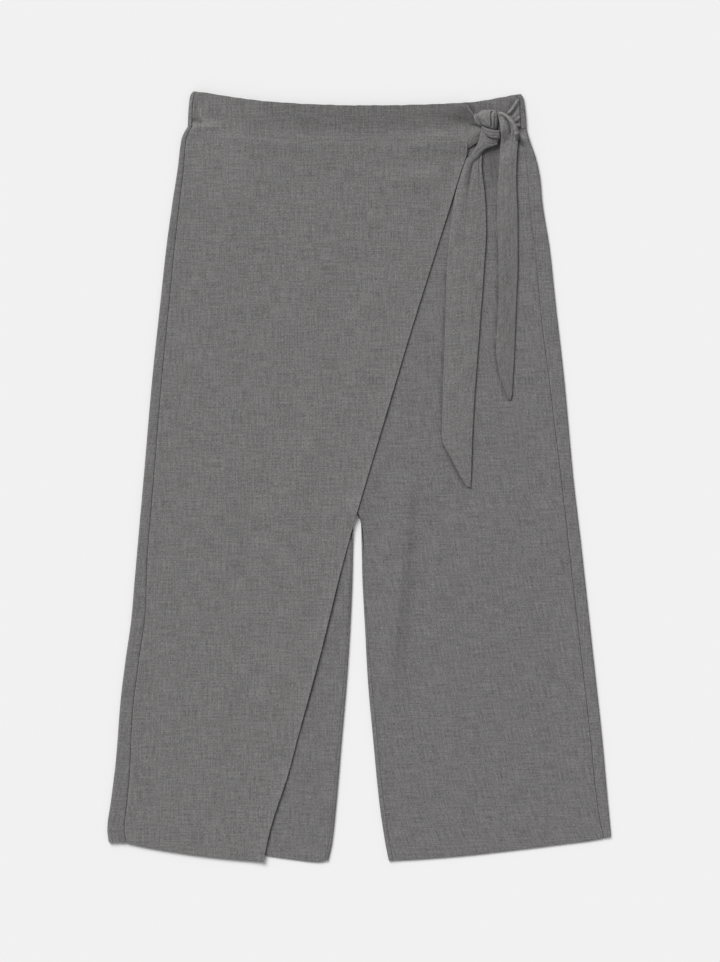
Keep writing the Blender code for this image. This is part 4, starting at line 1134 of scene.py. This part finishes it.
def tieMiddle(tie, liesOn):
    rows = tie["rows"]
    reads = [rowCurve(rows, k) for k in range(6)]
    t = [0.0]
    for i in range(len(rows) - 1):
        a, b = np.array(rows[i][:4]), np.array(rows[i + 1][:4])
        fine = tieShape["step"] * (1 if i < tieShape["fineRows"] else tieShape["coarse"])
        longest = max(np.hypot(*(b - a)[:2]), np.hypot(*(b - a)[2:]))
        count = max(tieShape["leastFaces"], math.ceil(longest / fine))
        t += [i + k / count for k in range(1, count + 1)]
    last = len(rows) - 1
    room = tieShape["endRoom"]
    middleRows = [k for k in t if room < k < last - room]
    t = tieShape["starts"] + middleRows + [last - end for end in tieShape["ends"]]
    t = np.array(t)[:, None]
    sides = np.array(tieShape["sides"])
    s = np.linspace(-1, 1, tieShape["columns"])
    s = np.concatenate((-sides, s[2:-2], sides[::-1]))[None, :]
    part = (s + 1) / 2
    across = mix(reads[0](t), reads[2](t), part)
    down = mix(reads[1](t), reads[3](t), part)
    height = liesOn(across, down) + reads[4](t) + reads[5](t) * (1 - s * s)
    height = height + tieFold(t, s, tie["folds"]) + foldHeight(across, down, tie["creases"])
    middle = np.stack((across, down, height), axis=2)
    byRow = lengths(middle, 1)
    byColumn = lengths(middle, 0)
    centre = byRow.shape[1] // 2
    flat = np.stack((byRow - byRow[:, centre:centre + 1], -byColumn), axis=2)
    return middle, flat


def onFront(across, down):
    return topOfFront(across, down) + cloth["tieGap"] + cloth["tieHalf"]


def paintedCreaseLight(across, down, creases, ridge):
    # painted highlight on raised creases and painted shade in sunk ones
    limit = tieShape["shadeLimit"]
    return ridge * np.clip(foldHeight(across, down, creases), -limit, limit)


def makeTie(tie, name, node, liesOn):
    middle, flat = tieMiddle(tie, liesOn)
    across, down = middle[..., 0], middle[..., 1]
    # painted light and shade from the tie's creases, and on the wrap tie the waistband's and wrap folds'
    # painted shade
    shade = 1 + paintedCreaseLight(across, down, tie["creases"], tie.get("ridge", tieShape["ridge"]))
    shade = shade + foldHeight(across, down, tie["creases"], "shade")
    if liesOn is wrapLevel:
        shade = shade * paintedWaistShade(across, down) + foldHeight(across, down, wrapFolds, "shade")
    sewn = tie.get("sewn", tieShape["sewn"])
    piece = clothShell(name, middle, flat, tie["wall"], tieCloth, shade, sewn)
    finishPiece(piece, node)


makeTie(tailLong, "tailLong", "tail_long", onFront)
makeTie(tailShort, "tailShort", "tail_short", onFront)
makeTie(wrapTie, "wrapTie", "wrap_tie", wrapLevel)
makeTie(sideTie, "sideTie", "side_tie", onFront)

# The knot's folded bands, in rows like the ties': left across and down, right across and down, the height of
# the rims, and how far the band swells between them. The cross bands run to the right, with their upper rim
# as the left.
knotBands = {
    # each band's shade scales its colour: painted light on the loop, turn and cross band, painted shade on
    # the core and the band under the cross
    "Core": {
        "shade": 0.8,
        "rows": [
            (152.0, 29.0, 172.0, 28.0, 7.4, 1.0), (149.0, 36.0, 175.0, 38.0, 8.6, 1.6),
            (150.0, 48.0, 175.0, 50.0, 8.4, 1.6), (154.0, 58.0, 172.0, 59.0, 7.4, 1.0),
        ],
        "creases": [],
    },
    "Loop": {
        "shade": 1.1,
        "rows": [
            (153.0, 22.9, 162.0, 22.7, 11.0, 1.2), (150.4, 23.4, 164.6, 23.4, 12.4, 2.2),
            (147.6, 24.9, 166.8, 25.0, 13.2, 3.6), (144.6, 27.6, 168.2, 27.6, 13.4, 5.0),
            (143.0, 30.4, 168.8, 31.0, 13.2, 6.0), (144.9, 33.8, 169.0, 35.0, 13.0, 6.4),
            (147.6, 37.8, 168.7, 39.0, 12.6, 6.2), (150.2, 41.6, 168.2, 43.0, 12.0, 5.2),
            (155.0, 44.2, 167.6, 46.0, 11.0, 3.8), (159.5, 46.0, 167.0, 48.4, 9.6, 2.0),
        ],
        "creases": [
            fold([(162.2, 24.6), (160.6, 28.5), (161.0, 34), (161.2, 40), (161.6, 45)], (1.0, 0.5), -3.0,
                 fade=(0.1, 0.15)),
            fold([(163.8, 25.5), (163.2, 32), (163.4, 40), (163.6, 46)], (0.9, 0.9), 0.9, fade=(0.1, 0.2)),
            fold([(165.6, 30), (165.3, 37), (165.4, 45)], (0.6, 0.5), -1.9, fade=(0.3, 0.15)),
            fold([(161.0, 24.4), (163.6, 25.8)], (0.8, 0.8), -1.8, fade=(0.2, 0.2)),
            fold([(146, 33.8), (149, 36), (151, 39.5)], (1.2, 0.7), -0.8, fade=(0.2, 0.3)),
            fold([(151, 25), (152.5, 33), (155, 41)], (2.0, 2.0), -0.4, fade=(0.3, 0.3)),
            fold([(156.4, 24), (157.6, 33), (158.6, 42)], (1.4, 1.2), -0.6, fade=(0.2, 0.2)),
        ],
    },
    "Cross": {
        "shade": 1.04,
        "rows": [
            (148.4, 42.6, 149.4, 45.0, 9.0, 0.6), (149.8, 42.6, 150.8, 47.6, 10.6, 1.4),
            (152.2, 43.4, 152.8, 51.0, 12.0, 2.6), (156.4, 44.9, 156.2, 54.6, 13.0, 3.6),
            (161.6, 46.4, 161.0, 57.0, 13.2, 3.8), (166.6, 47.4, 166.4, 58.0, 12.6, 3.4),
            (170.6, 47.6, 170.6, 57.4, 11.0, 2.6), (172.4, 48.4, 172.2, 55.4, 9.4, 1.2),
        ],
        "creases": [
            fold([(150, 44.0), (156, 46.6), (162, 48.2), (168, 49.2), (172, 49.6)], (1.0, 0.9), 1.0,
                 fade=(0.1, 0.1)),
            fold([(152, 47.4), (158, 50.0), (165, 51.2), (171, 51.2)], (0.9, 0.5), -0.9, fade=(0.2, 0.2)),
            fold([(155, 52.4), (162, 54.6), (169, 54.0)], (0.9, 0.8), -0.6, fade=(0.2, 0.2)),
        ],
    },
    "Under": {
        "shade": 0.95,
        "rows": [
            (150.4, 50.6, 150.0, 54.6, 9.0, 0.6), (153.6, 53.0, 152.6, 58.6, 9.8, 1.6),
            (159.0, 55.6, 158.2, 61.6, 10.2, 2.0), (165.0, 56.6, 164.6, 62.6, 10.0, 2.0),
            (169.8, 56.0, 169.4, 61.0, 9.0, 1.2),
        ],
        "creases": [],
    },
    "Neck": {
        "shade": 1.0,
        "rows": [
            (149.6, 42.6, 162.0, 50.0, 9.0, 0.8), (148.4, 49.0, 167.0, 59.6, 9.4, 1.6),
            (146.8, 56.0, 168.6, 63.8, 9.2, 2.4), (145.0, 62.0, 164.0, 66.6, 8.4, 2.8),
            (141.8, 68.6, 156.4, 69.2, 7.6, 3.0), (138.2, 74.6, 151.0, 73.4, 7.0, 3.0),
            (134.0, 80.4, 147.0, 79.0, 6.5, 2.8), (130.8, 85.6, 142.8, 83.2, 6.0, 2.4),
            (129.0, 91.0, 138.6, 87.6, 5.6, 2.0), (127.6, 98.0, 136.8, 94.0, 5.2, 1.4),
            (125.6, 108.0, 134.8, 105.0, 4.6, 0.6),
        ],
        "creases": [
            fold([(160, 64.6), (151, 67.6), (145.6, 72.6), (140, 79)], (0.9, 0.9), -0.6, fade=(0.2, 0.4)),
            fold([(148.6, 56), (146.6, 63), (141.6, 71), (136, 78)], (1.4, 1.6), 0.6, fade=(0.2, 0.4)),
            fold([(167.6, 63.2), (160, 63.8), (153, 62.4)], (0.6, 0.6), -0.9, fade=(0.2, 0.3)),
        ],
    },
    "Turn": {
        "shade": 1.08,
        "rows": [
            (139.2, 28.2, 143.4, 27.4, 8.0, 0.6), (139.6, 31.0, 144.6, 30.4, 9.6, 1.6),
            (140.6, 34.6, 145.8, 33.4, 10.6, 2.0), (142.2, 38.2, 147.4, 36.2, 10.8, 2.0),
            (144.8, 41.0, 149.2, 38.6, 10.4, 1.6), (147.6, 42.8, 150.6, 41.0, 9.6, 0.8),
        ],
        "creases": [
            fold([(142.6, 31), (144, 35.5), (147, 39)], (0.6, 0.6), -0.8, fade=(0.2, 0.2)),
        ],
    },
}
knotShape = {"thick": 2.6, "rows": 90, "columns": 129, "closing": (0.0, 0.5, 0.85)}


def knotBand(name, band):
    # a closed, folded band, whose section swells from one rim to the other
    reads = [rowCurve(band["rows"], k) for k in range(6)]
    t = np.linspace(0, len(band["rows"]) - 1, knotShape["rows"])[:, None]
    angle = np.linspace(0, 2 * math.pi, knotShape["columns"])[None, :]
    part, up = (1 - np.cos(angle)) / 2, np.sin(angle)
    across = mix(reads[0](t), reads[2](t), part)
    down = mix(reads[1](t), reads[3](t), part)
    over = reads[5](t) * up + foldHeight(across, down, band["creases"]) * np.sqrt(np.maximum(up, 0))
    height = reads[4](t) + np.where(up > 0, over, knotShape["thick"] * up)
    ring = np.stack((across, down, height), axis=2)
    first, last = ring[:1].mean(axis=1, keepdims=True), ring[-1:].mean(axis=1, keepdims=True)
    closing = knotShape["closing"]
    closed = [mix(first, ring[:1], k) for k in closing]
    ended = [mix(last, ring[-1:], k) for k in reversed(closing)]
    points = np.concatenate(closed + [ring] + ended)
    flat = np.stack((lengths(points, 1), -lengths(points, 0)), axis=2)
    # painted light and shade on its creases, and the band's own painted light or shade
    shade = paintedCreaseLight(points[..., 0], points[..., 1], band["creases"], tieShape["ridge"])
    shade = shade + band["shade"]
    return gridPiece("knot" + name, points, flat, tieCloth, shade)


def makeKnot():
    parts = [knotBand(name, band) for name, band in knotBands.items()]
    deselectAll()
    for part in parts:
        part.select_set(True)
    bpy.context.view_layer.objects.active = parts[0]
    bpy.ops.object.join()
    knot = bpy.context.object
    knot.name = "tieKnot"
    finishPiece(knot, "knot")


makeKnot()

# The floor, the light and the camera
studio = {
    "floor": (0.88, 0.88, 0.88, 1),
    "floorRough": 0.9,
    "sky": 0.38,
    "sunStrength": 2.83,
    "sunSoft": 34.0,        # degrees
    "sunFrom": (-0.5, 0.8, 0.9),
    "cameraHigh": 12.0,
    "pictureRows": 962,     # and the size of one of its pixels on the floor
    "pixel": 1.2 * mm,
    "frameCentre": (1.05 * mm, -5.3 * mm),
    "sensor": 36.0,
    "floorSize": 8.0,
    "floorDrop": 0.3 * mm,
}


def makeStudio():
    deselectAll()
    bpy.ops.mesh.primitive_plane_add(size=studio["floorSize"], location=(0, 0, -studio["floorDrop"]))
    floor = bpy.context.object
    floor.name = "floor"
    material = bpy.data.materials.new("paleFloor")
    material.use_nodes = True
    shader = material.node_tree.nodes["Principled BSDF"]
    shader.inputs["Base Color"].default_value = studio["floor"]
    shader.inputs["Roughness"].default_value = studio["floorRough"]
    shader.inputs["Specular IOR Level"].default_value = 0.0
    floor.data.materials.append(material)
    sun = bpy.data.lights.new("keyLight", "SUN")
    sun.energy = studio["sunStrength"]
    sun.angle = math.radians(studio["sunSoft"])
    lamp = bpy.data.objects.new("keyLight", sun)
    lamp.rotation_euler = Vector(studio["sunFrom"]).to_track_quat("Z", "Y").to_euler()
    bpy.context.scene.collection.objects.link(lamp)
    world = bpy.data.worlds.new("softWorld")
    world.use_nodes = True
    world.node_tree.nodes["Background"].inputs["Color"].default_value = (1, 1, 1, 1)
    world.node_tree.nodes["Background"].inputs["Strength"].default_value = studio["sky"]
    bpy.context.scene.world = world
    camera = bpy.data.cameras.new("camera")
    camera.sensor_fit = "VERTICAL"
    camera.sensor_height = studio["sensor"]
    camera.lens = studio["sensor"] * studio["cameraHigh"] / (studio["pictureRows"] * studio["pixel"])
    camera.clip_end = 50
    eye = bpy.data.objects.new("camera", camera)
    eye.location = (*studio["frameCentre"], studio["cameraHigh"])
    bpy.context.scene.collection.objects.link(eye)
    bpy.context.scene.camera = eye
    bpy.context.scene.view_settings.view_transform = "Standard"
    print("studio made")


makeStudio()
